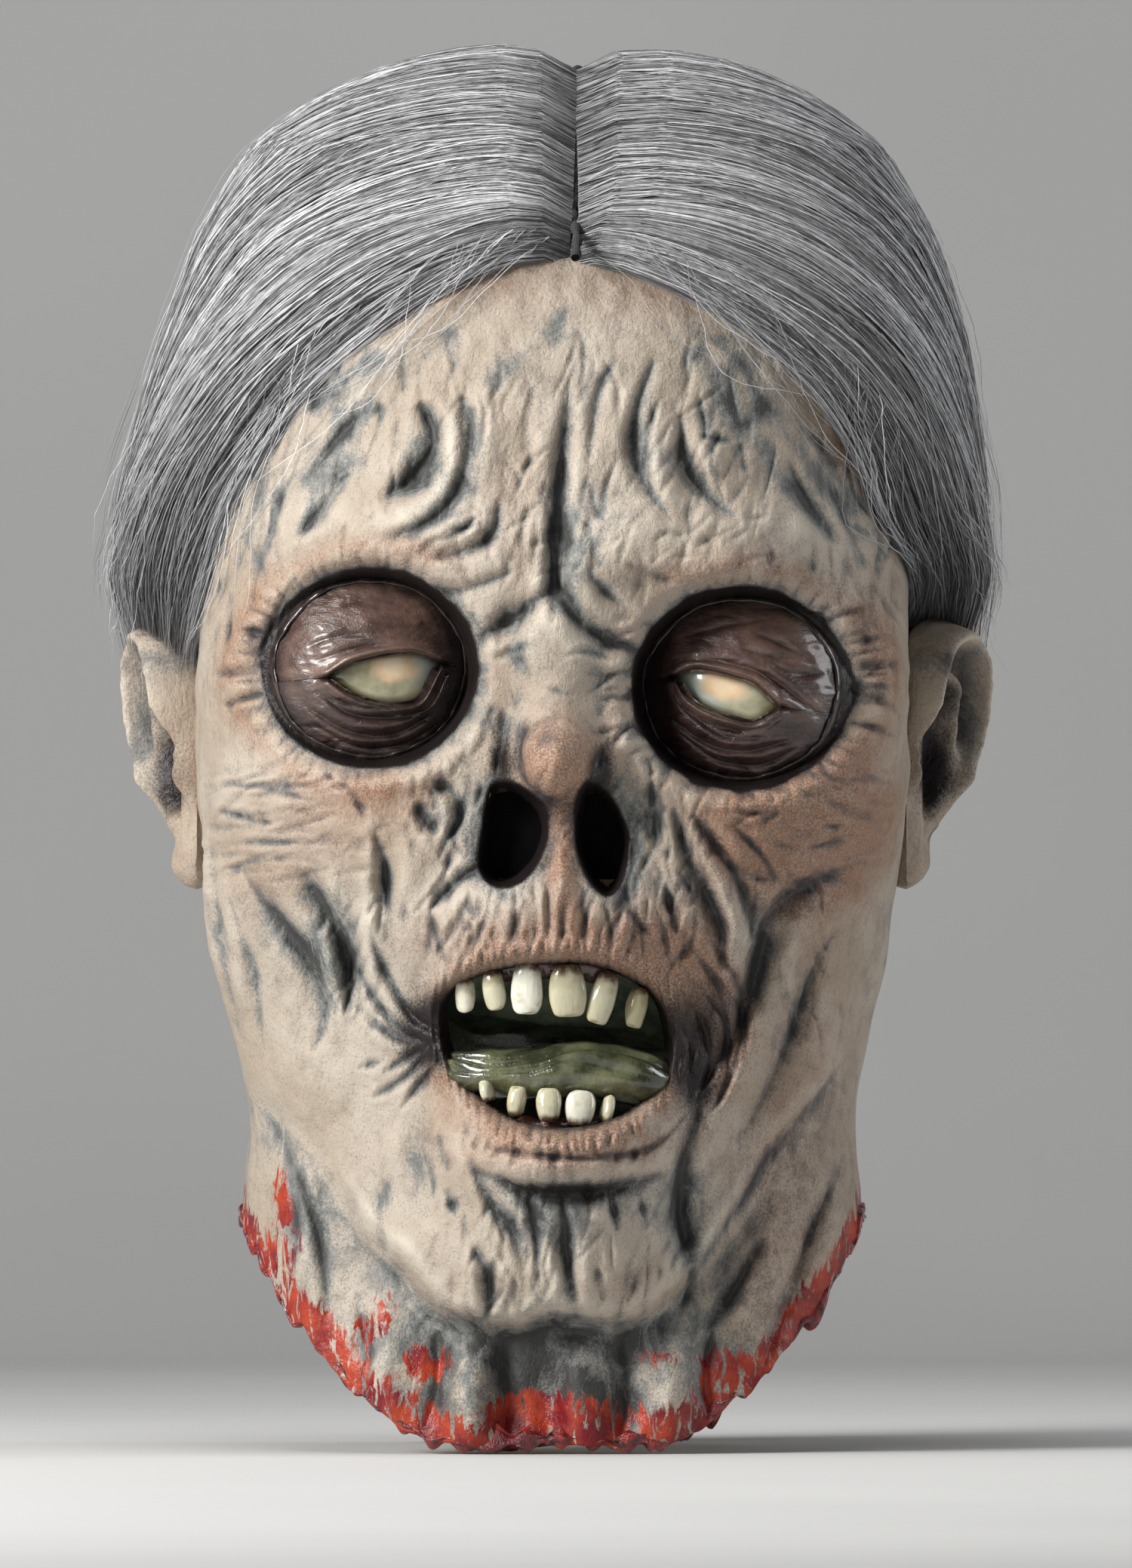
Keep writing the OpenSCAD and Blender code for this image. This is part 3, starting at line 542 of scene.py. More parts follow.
def mouth_rim(x, z, height, wash, warm, dark):
    """Full lips that roll back into the mouth, with upright pleats and painted shade where they roll in."""
    edge, _ = signed(x, z, curve(MOUTH, 2, True))
    pleat = np.sin(x * 2.3 + 3.0 * wiggle(x * 0.3, z * 0.14, 6, 2, 1.0))
    near = bell(edge - 4, 4)
    wash += 0.5 * np.clip(-pleat, 0, 1) * bell(edge - 3, 4)
    height += 2.2 * bell(edge - 4.5, 3.2) + 0.45 * pleat * near
    height -= 6.5 * bell(np.clip(edge, 0, 9), 1.7)
    warm += 0.8 * bell(edge - 3, 4.5)
    # Painted shade where the lips roll into the mouth and round the opening
    dark += 0.8 * smooth((1.6 - edge) / 2.6) + 0.28 * bell(edge - 1, 4)


def sink_holes(x, z, y):
    """Takes the surface back into the eye sockets and the nasal pits."""
    for side in EYES:
        r = socket_radius(x, z, side)
        ex, ez = EYES[side]
        rho = np.minimum(np.hypot(x - ex, z - ez), LID_R - 3)
        dome = EYE_Y - np.sqrt(LID_R**2 - rho**2) + 1.0
        s = smooth((1.05 - r) / 0.15)
        y = y * (1 - s) + np.maximum(dome, y) * s
    for outline in NOSTRILS:
        near = window(x, z, np.array(outline), 6)
        edge, _ = signed(x[near], z[near], curve(outline, 1.5, True))
        y[near] += 14.0 * smooth((1.0 - edge) / 3.5)
    return y


# ---- materials ----


class Paint:
    """Builds one node material. Every method returns an output socket."""

    def __init__(self, name, **shader):
        self.material = bpy.data.materials.new(name)
        self.material.use_nodes = True
        self.tree = self.material.node_tree
        self.shader = self.tree.nodes["Principled BSDF"]
        for key, value in shader.items():
            self.shader.inputs[key.replace("_", " ")].default_value = value
        self.place = self.node("ShaderNodeTexCoord").outputs["Object"]

    def node(self, kind, inputs=None, **settings):
        """A new node, with each of its inputs linked to a socket or set to a value."""
        made = self.tree.nodes.new(kind)
        for key, value in settings.items():
            setattr(made, key, value)
        for key, value in (inputs or {}).items():
            self.link(value, made.inputs[key])
        return made

    def link(self, source, socket):
        if hasattr(source, "is_output"):
            self.tree.links.new(source, socket)
        elif socket.type == "RGBA":
            socket.default_value = (*source, 1.0)
        else:
            socket.default_value = source

    def field(self, name):
        return self.node("ShaderNodeAttribute", attribute_name=name).outputs["Fac"]

    def noise(self, scale, detail=3.0, rough=0.55, stretch=None, twist=0.0, place=None):
        place = place or self.place
        if stretch:
            place = self.node("ShaderNodeMapping", {"Scale": stretch, "Vector": place}).outputs["Vector"]
        inputs = {"Scale": scale, "Detail": detail, "Roughness": rough, "Distortion": twist, "Vector": place}
        return self.node("ShaderNodeTexNoise", inputs).outputs["Fac"]

    def math(self, operation, a, b, clamp=False):
        return self.node("ShaderNodeMath", {0: a, 1: b}, operation=operation, use_clamp=clamp).outputs[0]

    def ramp(self, value, low, high, to_low=0.0, to_high=1.0):
        inputs = {"Value": value, "From Min": low, "From Max": high, "To Min": to_low, "To Max": to_high}
        return self.node("ShaderNodeMapRange", inputs, interpolation_type="SMOOTHSTEP").outputs["Result"]

    def mix(self, amount, a, b):
        mixed = self.node("ShaderNodeMix", {"Factor": amount, "A": a, "B": b}, data_type="RGBA")
        return next(socket for socket in mixed.outputs if socket.type == "RGBA")

    def bump(self, height, distance, strength=1.0, under=None):
        inputs = {"Distance": distance, "Strength": strength, "Height": height}
        if under is not None:
            inputs["Normal"] = under
        return self.node("ShaderNodeBump", inputs).outputs["Normal"]

    def done(self, colour, normal=None, roughness=None):
        for key, source in (("Base Color", colour), ("Normal", normal), ("Roughness", roughness)):
            if source is not None:
                self.link(source, self.shader.inputs[key])
        return self.material


def skin_paint():
    """Tan latex, airbrushed pink and orange, with a blue-grey wash in the creases, painted shade in the deep
    hollows and under the jaw, and fresh blood.
    """
    p = Paint("painted_latex", Specular_IOR_Level=0.35)
    grain = p.noise(1500, 2, 0.7)
    mottle = p.noise(120, 4, 0.6)
    broad = p.noise(28, 3, 0.5)
    tan = p.mix(p.ramp(broad, 0.35, 0.65), (0.374, 0.309, 0.240), (0.446, 0.390, 0.325))
    tan = p.mix(p.ramp(mottle, 0.46, 0.75, 0, 0.5), tan, (0.27, 0.21, 0.165))
    tan = p.mix(p.ramp(grain, 0.5, 0.72, 0, 0.5), tan, (0.20, 0.165, 0.14))
    tan = p.mix(p.ramp(p.field("pale"), 0, 1, 0, 0.5), tan, (0.66, 0.61, 0.52))
    warm = p.math("MULTIPLY", p.field("warm"), p.ramp(mottle, 0.25, 0.7, 0.55, 1.15), True)
    warm = p.math("MULTIPLY", warm, p.ramp(grain, 0.3, 0.7, 0.5, 1.1), True)
    colour = p.mix(warm, tan, (0.255, 0.128, 0.074))
    ragged = p.noise(85, 6, 0.72, (1.4, 1.4, 0.8), 0.9)
    # The wash field holds grey paint in the creases and painted shade alike; the strongest goes near black
    spray = p.math("MULTIPLY", p.field("wash"), p.ramp(ragged, 0.32, 0.66, 0.45, 1.3))
    spray = p.math("ADD", spray, p.ramp(grain, 0.3, 0.75, -0.15, 0.13))
    spray = p.math("ADD", spray, p.ramp(mottle, 0.3, 0.7, -0.12, 0.12))
    grey = p.mix(p.ramp(p.field("warm"), 0.0, 0.7), (0.122, 0.142, 0.146), (0.115, 0.085, 0.075))
    colour = p.mix(p.ramp(spray, 0.02, 0.7, 0, 0.8), colour, grey)
    colour = p.mix(p.ramp(spray, 0.5, 1.3, 0, 0.88), colour, (0.033, 0.033, 0.034))
    # Painted shade, near black, from the dark field: in the nasal pits, the sockets, inside the lips, the
    # ear's shell and the shade patches
    dark = p.math("ADD", p.field("dark"), p.ramp(grain, 0.3, 0.75, -0.12, 0.10))
    colour = p.mix(p.ramp(dark, 0.05, 0.85), colour, (0.013, 0.009, 0.009))
    brush = p.noise(170, 5, 0.65, (1.6, 1.6, 0.55), 1.2)
    blood = p.math("MULTIPLY", p.field("blood"), p.ramp(brush, 0.3, 0.7, 0.1, 1.35))
    wet = p.ramp(blood, 0.34, 0.62)
    red = p.mix(p.ramp(p.noise(90, 3), 0.35, 0.65), (0.40, 0.048, 0.018), (0.16, 0.009, 0.014))
    colour = p.mix(wet, colour, red)
    pores = p.noise(2300, 2, 0.6)
    lumps = p.noise(520, 4, 0.65)
    normal = p.bump(p.noise(210, 4, 0.6, (1.5, 1.5, 0.7), 0.6), 0.0012, 0.5)
    normal = p.bump(lumps, 0.0007, 0.6, normal)
    normal = p.bump(pores, 0.0002, 0.5, normal)
    gloss = p.math("SUBTRACT", p.ramp(mottle, 0.3, 0.7, 0.46, 0.60), p.math("MULTIPLY", wet, 0.28))
    gloss = p.math("SUBTRACT", gloss, p.math("MULTIPLY", p.ramp(dark, 0.3, 0.9), 0.14))
    return p.done(colour, normal, gloss)


def raw_latex_paint():
    """Unpainted cream latex inside the mask, with brush marks and stains."""
    p = Paint("raw_latex", Roughness=0.55)
    stain = p.noise(60, 5, 0.6)
    colour = p.mix(p.ramp(stain, 0.35, 0.7), (0.60, 0.50, 0.33), (0.38, 0.28, 0.16))
    normal = p.bump(p.noise(260, 4, 0.6, (1, 1, 0.4)), 0.0008, 0.6)
    return p.done(colour, normal)


def gore_paint():
    """Wet torn flesh: crimson, orange red and near black, with a clear gloss coat."""
    p = Paint("gore_latex", Roughness=0.22, Coat_Weight=0.6, Coat_Roughness=0.08)
    colour = p.mix(p.ramp(p.noise(150, 4), 0.4, 0.6), (0.11, 0.006, 0.009), (0.30, 0.022, 0.016))
    colour = p.mix(p.ramp(p.noise(380, 4), 0.48, 0.66, 0, 0.9), colour, (0.035, 0.005, 0.006))
    colour = p.mix(p.ramp(p.noise(240, 3, 0.5, (1, 1, 2)), 0.64, 0.72, 0, 0.6), colour, (0.55, 0.36, 0.33))
    normal = p.bump(p.noise(420, 5, 0.65), 0.0012, 0.8)
    return p.done(colour, normal)


def lid_paint():
    """Glossy bruised brown lids with darker folds."""
    p = Paint("lid_latex", Specular_IOR_Level=0.5, Coat_Weight=0.5, Coat_Roughness=0.12)
    mottle = p.noise(150, 4, 0.6)
    colour = p.mix(p.ramp(mottle, 0.35, 0.68), (0.050, 0.026, 0.021), (0.110, 0.062, 0.047))
    colour = p.mix(p.ramp(p.noise(70, 3), 0.5, 0.7, 0, 0.5), colour, (0.095, 0.055, 0.065))
    # Paler along the rolled margin, and painted light toward the top of the upper lids
    paler_margin_and_lit_top = p.math("MULTIPLY", p.field("warm"), p.ramp(mottle, 0.35, 0.65, 0.5, 1.0), True)
    colour = p.mix(paler_margin_and_lit_top, colour, (0.23, 0.145, 0.105))
    # Near black from the wash field: paint in the folds, and painted shade at the socket's rim, on the nose
    # side and over the lower lids
    colour = p.mix(p.math("MINIMUM", p.field("wash"), 0.95), colour, (0.016, 0.009, 0.009))
    normal = p.bump(p.noise(460, 4, 0.62, (1, 1, 2.2)), 0.0007, 0.6)
    normal = p.bump(p.noise(1900, 2), 0.00018, 0.5, normal)
    return p.done(colour, normal, p.ramp(mottle, 0.3, 0.7, 0.24, 0.4))


def eye_paint():
    """Clouded yellow-green eyes with a cream and orange cloud, under clear resin."""
    p = Paint("eye_glaze", Roughness=0.22, Coat_Weight=1.0, Coat_Roughness=0.03)
    base = p.mix(p.ramp(p.noise(130, 3), 0.35, 0.65), (0.30, 0.28, 0.15), (0.50, 0.47, 0.31))
    base = p.mix(p.field("pale"), base, (0.50, 0.56, 0.50))
    cloud = p.math("ADD", p.field("cloud"), p.ramp(p.noise(300, 4), 0.3, 0.7, -0.12, 0.10), True)
    colour = p.mix(p.ramp(cloud, 0.15, 0.75), base, (0.82, 0.58, 0.35))
    colour = p.mix(p.ramp(cloud, 0.62, 0.98, 0, 0.75), colour, (0.90, 0.74, 0.52))
    # Painted shadow of the lids along the slit, from the wash field
    colour = p.mix(p.field("wash"), colour, (0.035, 0.03, 0.018))
    return p.done(colour)


def socket_paint():
    """Black glue, a little glossy."""
    p = Paint("socket_black", Roughness=0.3, Coat_Weight=0.5)
    colour = p.mix(p.ramp(p.noise(300, 3), 0.4, 0.7), (0.012, 0.009, 0.009), (0.05, 0.032, 0.028))
    return p.done(colour, p.bump(p.noise(600, 3), 0.0004, 0.6))


def tooth_paint():
    """Yellowed resin teeth: pale and glossy, browner toward the root."""
    p = Paint("tooth_resin", Roughness=0.16, Coat_Weight=0.8, Coat_Roughness=0.05,
              Subsurface_Weight=0.12, Subsurface_Scale=0.002)
    colour = p.mix(p.field("pale"), (0.40, 0.36, 0.18), (0.76, 0.75, 0.64))
    colour = p.mix(p.ramp(p.noise(330, 4), 0.45, 0.75, 0, 0.55), colour, (0.38, 0.32, 0.14))
    root = p.math("ADD", p.field("wash"), p.ramp(p.noise(420, 3), 0.3, 0.7, -0.16, 0.16))
    colour = p.mix(p.ramp(root, 0.3, 0.95), colour, (0.09, 0.045, 0.025))
    return p.done(colour, p.bump(p.noise(300, 3, 0.5, (2.4, 2.4, 0.5)), 0.0004, 0.5))


def wet_paint(name, low, high, scale=140, bump_mm=0.9, rough=0.2):
    """A wet mouth lining, tongue or gum: two mottled colours under a gloss coat."""
    p = Paint(name, Roughness=rough, Coat_Weight=0.85, Coat_Roughness=0.06)
    colour = p.mix(p.ramp(p.noise(scale, 4, 0.6), 0.38, 0.66), low, high)
    normal = p.bump(p.noise(scale * 2.4, 4, 0.6), bump_mm * MM, 0.6)
    normal = p.bump(p.noise(1500, 2), 0.00025, 0.5, normal)
    return p.done(colour, normal)


def strand_paint():
    """Grey hair: each hair has its own tone, from white to near black, with painted shade along the main
    hairs at the roots and tips.
    """
    p = Paint("grey_hair", Roughness=0.42, Specular_IOR_Level=0.55)
    colour = p.mix(p.field("tone"), (0.030, 0.029, 0.031), (0.72, 0.72, 0.74))
    colour = p.mix(p.ramp(p.noise(500, 2), 0.3, 0.7, 0, 0.35), colour, (0.16, 0.16, 0.165))
    return p.done(colour)


def under_hair_paint():
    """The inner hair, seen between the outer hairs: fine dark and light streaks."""
    p = Paint("under_hair", Roughness=0.6)
    uv = p.node("ShaderNodeTexCoord").outputs["UV"]
    streaks = p.noise(3.0, 5.0, 0.5, (240.0, 2.5, 1.0), place=uv)
    colour = p.mix(p.ramp(streaks, 0.35, 0.65), (0.05, 0.05, 0.053), (0.34, 0.34, 0.35))
    return p.done(colour, p.bump(streaks, 0.0008, 0.8))


def weave_paint(name, low, high, threads):
    """Woven cloth: two sets of threads, threads to the metre."""
    p = Paint(name, Roughness=0.95, Specular_IOR_Level=0.1)
    inputs = {"Scale": threads, "Distortion": 1.5, "Vector": p.place}
    waves = [p.node("ShaderNodeTexWave", inputs, bands_direction=axis).outputs["Fac"] for axis in "XZ"]
    weave = p.math("MULTIPLY", *waves)
    return p.done(p.mix(weave, low, high), p.bump(weave, 0.0003, 0.7))


def foam_paint():
    """Open-cell grey foam."""
    p = Paint("foam", Roughness=0.95)
    cells = p.node("ShaderNodeTexVoronoi", {"Scale": 700.0, "Vector": p.place}).outputs["Distance"]
    colour = p.mix(p.ramp(cells, 0.1, 0.6), (0.10, 0.105, 0.115), (0.035, 0.037, 0.041))
    colour = p.mix(p.ramp(p.noise(60, 3), 0.4, 0.7, 0, 0.4), colour, (0.15, 0.14, 0.12))
    return p.done(colour, p.bump(cells, 0.0006, 0.8))


def floor_paint():
    """Matt pale grey, clear from behind so that the backdrop never hides the mask."""
    p = Paint("floor", Roughness=0.7)
    p.done(p.mix(p.ramp(p.noise(2, 2), 0.3, 0.7), (0.56, 0.56, 0.56), (0.60, 0.60, 0.59)))
    behind = p.node("ShaderNodeNewGeometry").outputs["Backfacing"]
    clear = p.node("ShaderNodeBsdfTransparent").outputs["BSDF"]
    swap = p.node("ShaderNodeMixShader", {0: behind, 1: p.shader.outputs["BSDF"], 2: clear})
    p.link(swap.outputs["Shader"], p.tree.nodes["Material Output"].inputs["Surface"])
    return p.material


# ---- mesh building ----


def placed(name, data):
    """A new object in the scene."""
    obj = bpy.data.objects.new(name, data)
    bpy.context.collection.objects.link(obj)
    return obj


def new_object(name, points, faces, material, slot, replaces=None, **fields):
    """A smooth mesh from points in mm and an array of faces, with one float attribute per field."""
    mesh = bpy.data.meshes.new(name)
    faces = np.asarray(faces, np.int32)
    count, corners = faces.shape
    mesh.vertices.add(len(points))
    mesh.vertices.foreach_set("co", to_frame(points).astype(np.float32).ravel())
    mesh.loops.add(count * corners)
    mesh.loops.foreach_set("vertex_index", faces.ravel())
    mesh.polygons.add(count)
    mesh.polygons.foreach_set("loop_start", np.arange(0, count * corners, corners, dtype=np.int32))
    mesh.polygons.foreach_set("use_smooth", np.ones(count, bool))
    mesh.update(calc_edges=True)
    mesh.validate()
    for key, values in fields.items():
        layer = mesh.attributes.new(key, "FLOAT", "POINT")
        layer.data.foreach_set("value", np.asarray(values, np.float32).ravel())
    obj = placed(name, mesh)
    mesh.materials.append(material)
    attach(obj, "root")
    if replaces:
        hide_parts(replaces)
    return obj


def new_grid(name, xyz, material, slot, replaces=None, wrap=True, flip=False, **fields):
    """A mesh on a grid of points, from its x, y and z grids; wrap joins each row's ends."""
    points = np.stack(np.broadcast_arrays(*xyz), axis=-1)
    faces = grid_faces(*points.shape[:2], wrap)
    if flip:
        faces = faces[:, ::-1]
    return new_object(name, points.reshape(-1, 3), faces, material, slot, replaces, **fields)


def grid_faces(rows, cols, wrap=False):
    """Quads of a grid of points stored row by row, joined round if wrap."""
    r = np.arange(rows - 1)[:, None] * cols
    c = np.arange(cols if wrap else cols - 1)[None, :]
    n = (c + 1) % cols
    return np.stack([r + c, r + n, r + cols + n, r + cols + c], axis=-1).reshape(-1, 4)


def ring_faces(rows, cols):
    """Quads of a closed ring: the last row is joined to the first."""
    return grid_faces(rows + 1, cols, True) % (rows * cols)


def without_loose(points, faces, fields):
    """Drops the points that no face uses."""
    used = np.zeros(len(points), bool)
    used[faces.ravel()] = True
    number = np.cumsum(used) - 1
    return points[used], number[faces], {k: v[used] for k, v in fields.items()}


def solidify(obj, thickness_mm, inner=None, offset=-1.0):
    """Gives a sheet its thickness, with another material on the inside if inner is given."""
    mod = obj.modifiers.new("thickness", "SOLIDIFY")
    mod.thickness = thickness_mm * MM
    mod.offset = offset
    if inner is not None:
        obj.data.materials.append(inner)
        mod.material_offset = 1
    return obj


# ---- pieces ----


EDGE_REACH = 110.0      # rows of the skin below this height follow the torn edge
CROWN_START = 330.0     # rows above this height are packed toward the crown
NASAL_MARGIN = 2.0      # the nasal pits are cut this far inside their outlines


def hole_outlines():
    """Outlines of the openings whose edges are clean: the mouth and the sockets."""
    outlines = [curve(MOUTH, 1.5, True)]
    turn = circle(90)
    for side, (ex, ez) in EYES.items():
        rx, rz = SOCKET[side]
        outlines.append(np.stack([ex + 0.87 * rx * np.cos(turn), ez + 0.87 * rz * np.sin(turn)], axis=1))
    return outlines


def cut_holes(x, y, z, faces, facing):
    """Takes out the faces in each opening and moves the edge left there on to its outline."""
    mid_x = x[faces].mean(axis=1)
    mid_z = z[faces].mean(axis=1)
    clean = hole_outlines()
    keep = np.ones(len(faces), bool)
    snap = np.full(x.size, -1)
    nasal = [curve(outline, 1.5, True) for outline in NOSTRILS]
    for k, outline in enumerate(clean + nasal):
        near = facing & window(mid_x, mid_z, outline, 2)
        edge, _ = signed(mid_x[near], mid_z[near], outline)
        cut = np.flatnonzero(near)[edge < (0 if k < len(clean) else -NASAL_MARGIN)]
        keep[cut] = False
        snap[faces[cut].ravel()] = k
    kept = np.zeros(x.size, bool)
    kept[faces[keep].ravel()] = True
    for k, outline in enumerate(clean):
        rim = np.flatnonzero(kept & (snap == k))
        _, _, near = nearest(x[rim], z[rim], outline, True)
        x[rim] = near[:, 0]
        z[rim] = near[:, 1]
        y[rim] = front_y(x[rim], z[rim])
    return faces[keep]


def make_skin(material, inner):
    """The latex head: a fine grid in front, a coarser one behind, with the holes cut out."""
    angles = np.concatenate([np.arange(-100, 100.01, 0.36), np.arange(101.5, 258.6, 2.4)])
    packed = np.sin(np.linspace(0, math.pi / 2, 22)[1:])
    rows = np.append(np.linspace(0, CROWN_START, 520), CROWN_START + (CROWN_Z - CROWN_START) * packed)
    a, z = np.meshgrid(angles, rows)
    shape = a.shape
    edge = torn_edge(a)
    z = np.where(z < EDGE_REACH, edge + z * (EDGE_REACH - edge) / EDGE_REACH, z)
    x, y = (v.ravel() for v in around(a, z))
    a = a.ravel()
    z = z.ravel()
    toward = np.cos(np.radians(a))
    w = smooth(toward * 3)      # 1 on the face, 0 behind
    faces = grid_faces(*shape, True)
    quads = cut_holes(x, y, z, faces, w[faces].min(axis=1) > 0.5)

    height, wash, warm, dark, blood = (f * w for f in face_fields(x, z))
    height += (1 - w) * 0.8 * wiggle(a * 0.1, z, 21, 3, 0.08)
    rise = z - torn_edge(a)
    blood = np.maximum(blood, 0) + 1.2 * smooth((18 - rise) / 16)
    grid = height.reshape(shape)
    # Wash pooled in hollows and painted shade: darker wherever the surface lies below its blurred
    # surroundings
    hollow = (blurred(grid, 5) - grid).ravel()
    raised = (grid - blurred(grid, 9)).ravel()
    wash += np.clip(hollow * 0.33, -0.12, 0.6) * w
    wash += 0.5 * (1 - w) * smooth(0.3 + 0.5 * wiggle(a * 0.3, z, 12, 3, 0.05))
    wash += 0.15 * smooth((60 - rise) / 50)
    out_x = np.sin(np.radians(a)) * smooth((np.abs(x) - 72) / 24)
    out_y = -np.clip(toward * 3, -1, 1) * np.sqrt(1 - out_x**2)
    askew = -4.0 * bell(z - 135, 38) * smooth((np.abs(x) - 60) / 30) * w
    py = y + out_y * height
    py = np.where(w > 0, sink_holes(x, z, py.copy()) * w + py * (1 - w), py)
    points = np.stack([x + out_x * height + askew, py, z], axis=1)
    fields = dict(wash=wash, warm=warm, dark=dark, blood=blood, pale=np.clip(raised * 0.45, 0, 1) * w)
    points, quads, fields = without_loose(points, quads, fields)
    skin = new_object("skin", points, quads, material, "painted_latex", "latex_skin", **fields)
    solidify(skin, WALL, inner)


def dome(x, z, side, radius):
    """Points of a sphere in front of an eye's centre; x and z are from that centre."""
    ex, ez = EYES[side]
    return ex + x, EYE_Y - np.sqrt(np.maximum(radius**2 - x**2 - z**2, 4.0)), ez + z


SLITS = {   # the open slit of each eye, from its centre: left corner round the top, then back below
    "left": ([(-11.5, -2.6), (-6, 0.8), (0, 2.8), (6, 3.8), (13, 4.0), (19.5, 1.4)],
             [(-11.5, -2.6), (-6, -6.4), (0, -8.6), (7, -9.6), (14, -8.2), (19.5, 1.4)]),
    "right": ([(-18, 3.2), (-13, 5.4), (-8, 5.0), (-2, 3.4), (4, 1.2), (10.5, -5)],
              [(-18, 3.2), (-15, -1.6), (-10, -5), (-3, -7.6), (4, -9), (10.5, -5)]),
}
# Folds of each lid, from the eye's centre: depth, half width, points
LID_FOLDS = {
    ("left", 1): [
        (0.9, 0.9, (-15, 2), (-9, 4), (-3, 5.5), (6, 6.5), (14, 7)),
        (0.6, 0.9, (-17, 6), (-8, 9), (2, 9)), (0.4, 1.2, (-12, 16), (0, 19), (10, 17)),
    ],
    ("left", -1): [
        (1.2, 1.0, (-15, -6), (-6, -12), (4, -13.5), (14, -11), (21, -4)),
        (1.1, 1.0, (-18, -10), (-6, -17), (6, -18), (18, -12)),
        (0.8, 0.9, (-16, -15), (-3, -21.5), (10, -20), (20, -14)),
        (0.7, 0.8, (-12, -8), (0, -11), (12, -10)),
    ],
    ("right", 1): [
        (1.4, 1.1, (-19, 8), (-8, 7.5), (0, 6), (8, 3), (16, -3), (23, -8)),
        (1.0, 1.0, (4, 15), (11, 12), (20, 7)), (1.0, 1.0, (8, 7), (15, 4), (23, 4)),
        (0.8, 0.9, (0, 11), (8, 9), (16, 8)), (0.6, 1.0, (-16, 14), (-4, 17), (8, 19)),
    ],
    ("right", -1): [
        (1.1, 0.9, (-17, -4), (-10, -9), (0, -11.5), (9, -10)),
        (1.2, 1.0, (-19, -8), (-9, -15), (2, -17), (14, -14)),
        (1.1, 0.9, (-17, -12), (-6, -19.5), (6, -20.5), (16, -16)),
        (0.7, 0.8, (-14, -7), (-4, -13), (8, -13.5)),
    ],
}


def make_lid(side, up, material):
    """One lid casting: from the slit's edge to the socket, with folds and a rolled margin."""
    top, bottom = SLITS[side]
    line = curve(top if up > 0 else bottom, 0.5)
    first = line[0]
    last = line[-1]
    reach = 30.0        # from the eye's centre to the lid's outer edge
    start = np.array([-reach * math.cos(0.08), first[1] - 1.5])
    end = np.array([reach * math.cos(0.08), last[1] - 2.5])
    margin = np.vstack([np.linspace(start, first, 30, endpoint=False), line, np.linspace(last, end, 30)[1:]])
    rows, cols = 90, 190
    xs = np.linspace(-reach + 0.2, reach - 0.2, cols)
    mz = np.interp(xs, margin[:, 0], margin[:, 1])
    ends = up * np.sqrt(reach**2 - xs**2)
    ends = np.where(up * ends > up * mz + 0.6, ends, mz + up * 0.6)
    t = np.linspace(0, 1, rows)[:, None]
    x = np.tile(xs, (rows, 1))
    z = mz + (ends - mz) * t
    height = np.zeros(x.shape)
    wash = np.zeros(x.shape)
    for depth, width, *points in LID_FOLDS[side, up]:
        carve(x, z, height, wash, depth, width, points)
    rng = np.random.default_rng(3 if side == "left" else 5)
    for _ in range(14 if up > 0 else 24):
        cx = rng.uniform(-22, 22)
        cz = up * rng.uniform(7, 24)
        bow = up * rng.uniform(-0.5, 1.6)
        half = rng.uniform(3, 7)
        carve(x, z, height, wash, rng.uniform(0.08, 0.22), rng.uniform(0.6, 0.9),
              [(cx - half, cz - bow), (cx, cz + bow), (cx + half, cz - bow)])
    from_edge = np.abs(z - mz)
    slot_line = np.maximum(0, np.maximum(first[0] - x, x - last[0]))
    open_slit = bell(slot_line, 2.5)
    height += 1.2 * bell(from_edge - 1.6, 1.3) * open_slit
    height -= 1.6 * bell(from_edge, 0.7) * open_slit
    rho = np.hypot(x, z)
    height += 0.25 * wiggle(x, z, 9 + up, 3, 0.35)
    # Painted shade toward the lid's rim deep in the socket; darker along the slit's edge
    wash += 0.85 * smooth((rho - 21.0) / 6) + 0.6 * bell(from_edge, 1.0) * open_slit
    # Painted shade on the nose side of each lid, where the socket is deepest
    nose_side = -x * (1 if side == "right" else -1)
    wash += 0.9 * smooth((nose_side - 15) / 9)
    warm = bell(from_edge - 2.2, 1.5) * 0.5
    # Painted shade over the whole lower lid; painted light toward the top of the upper lid
    if up < 0:
        wash += 0.34
    else:
        warm += 0.35 * smooth(z / 20)
    node = f"{'upper' if up > 0 else 'lower'}_lid_{side}"
    lid = new_grid(f"{node}_skin", dome(x, z, side, LID_R + height), material, "lid_latex", node,
                   wrap=False, wash=wash, warm=warm)
    if up < 0:
        lid.data.flip_normals()
    solidify(lid, WALL)


def make_eyeball(side, material):
    """A glossy dome with a soft cream cloud where the pupil would be."""
    out, turn = crossed(np.linspace(0.001, 1, 60), circle(96))
    r = EYE_R * np.sin(out * 1.28)
    x = r * np.cos(turn)
    z = r * np.sin(turn)
    cx, cz, lean, white = EYE_CLOUDS[side]
    dx = x - cx
    dz = z - cz + dx * lean
    cloud = np.exp(-np.hypot(dx / 6.8, dz / 4.2) ** 2.6)
    # Painted shadow of the lids' edges on the eyeball, along the slit
    shade = np.zeros(x.shape)
    for line in SLITS[side]:
        d, _, _ = nearest(x, z, curve(line, 1.0))
        shade = np.maximum(shade, 0.85 * bell(d, 1.2))
    new_grid(f"eye_{side}", dome(x, z, side, EYE_R), material, "eye_glaze", f"eyeball_{side}",
             cloud=cloud, pale=blob(x, z, white, 2), wash=shade)


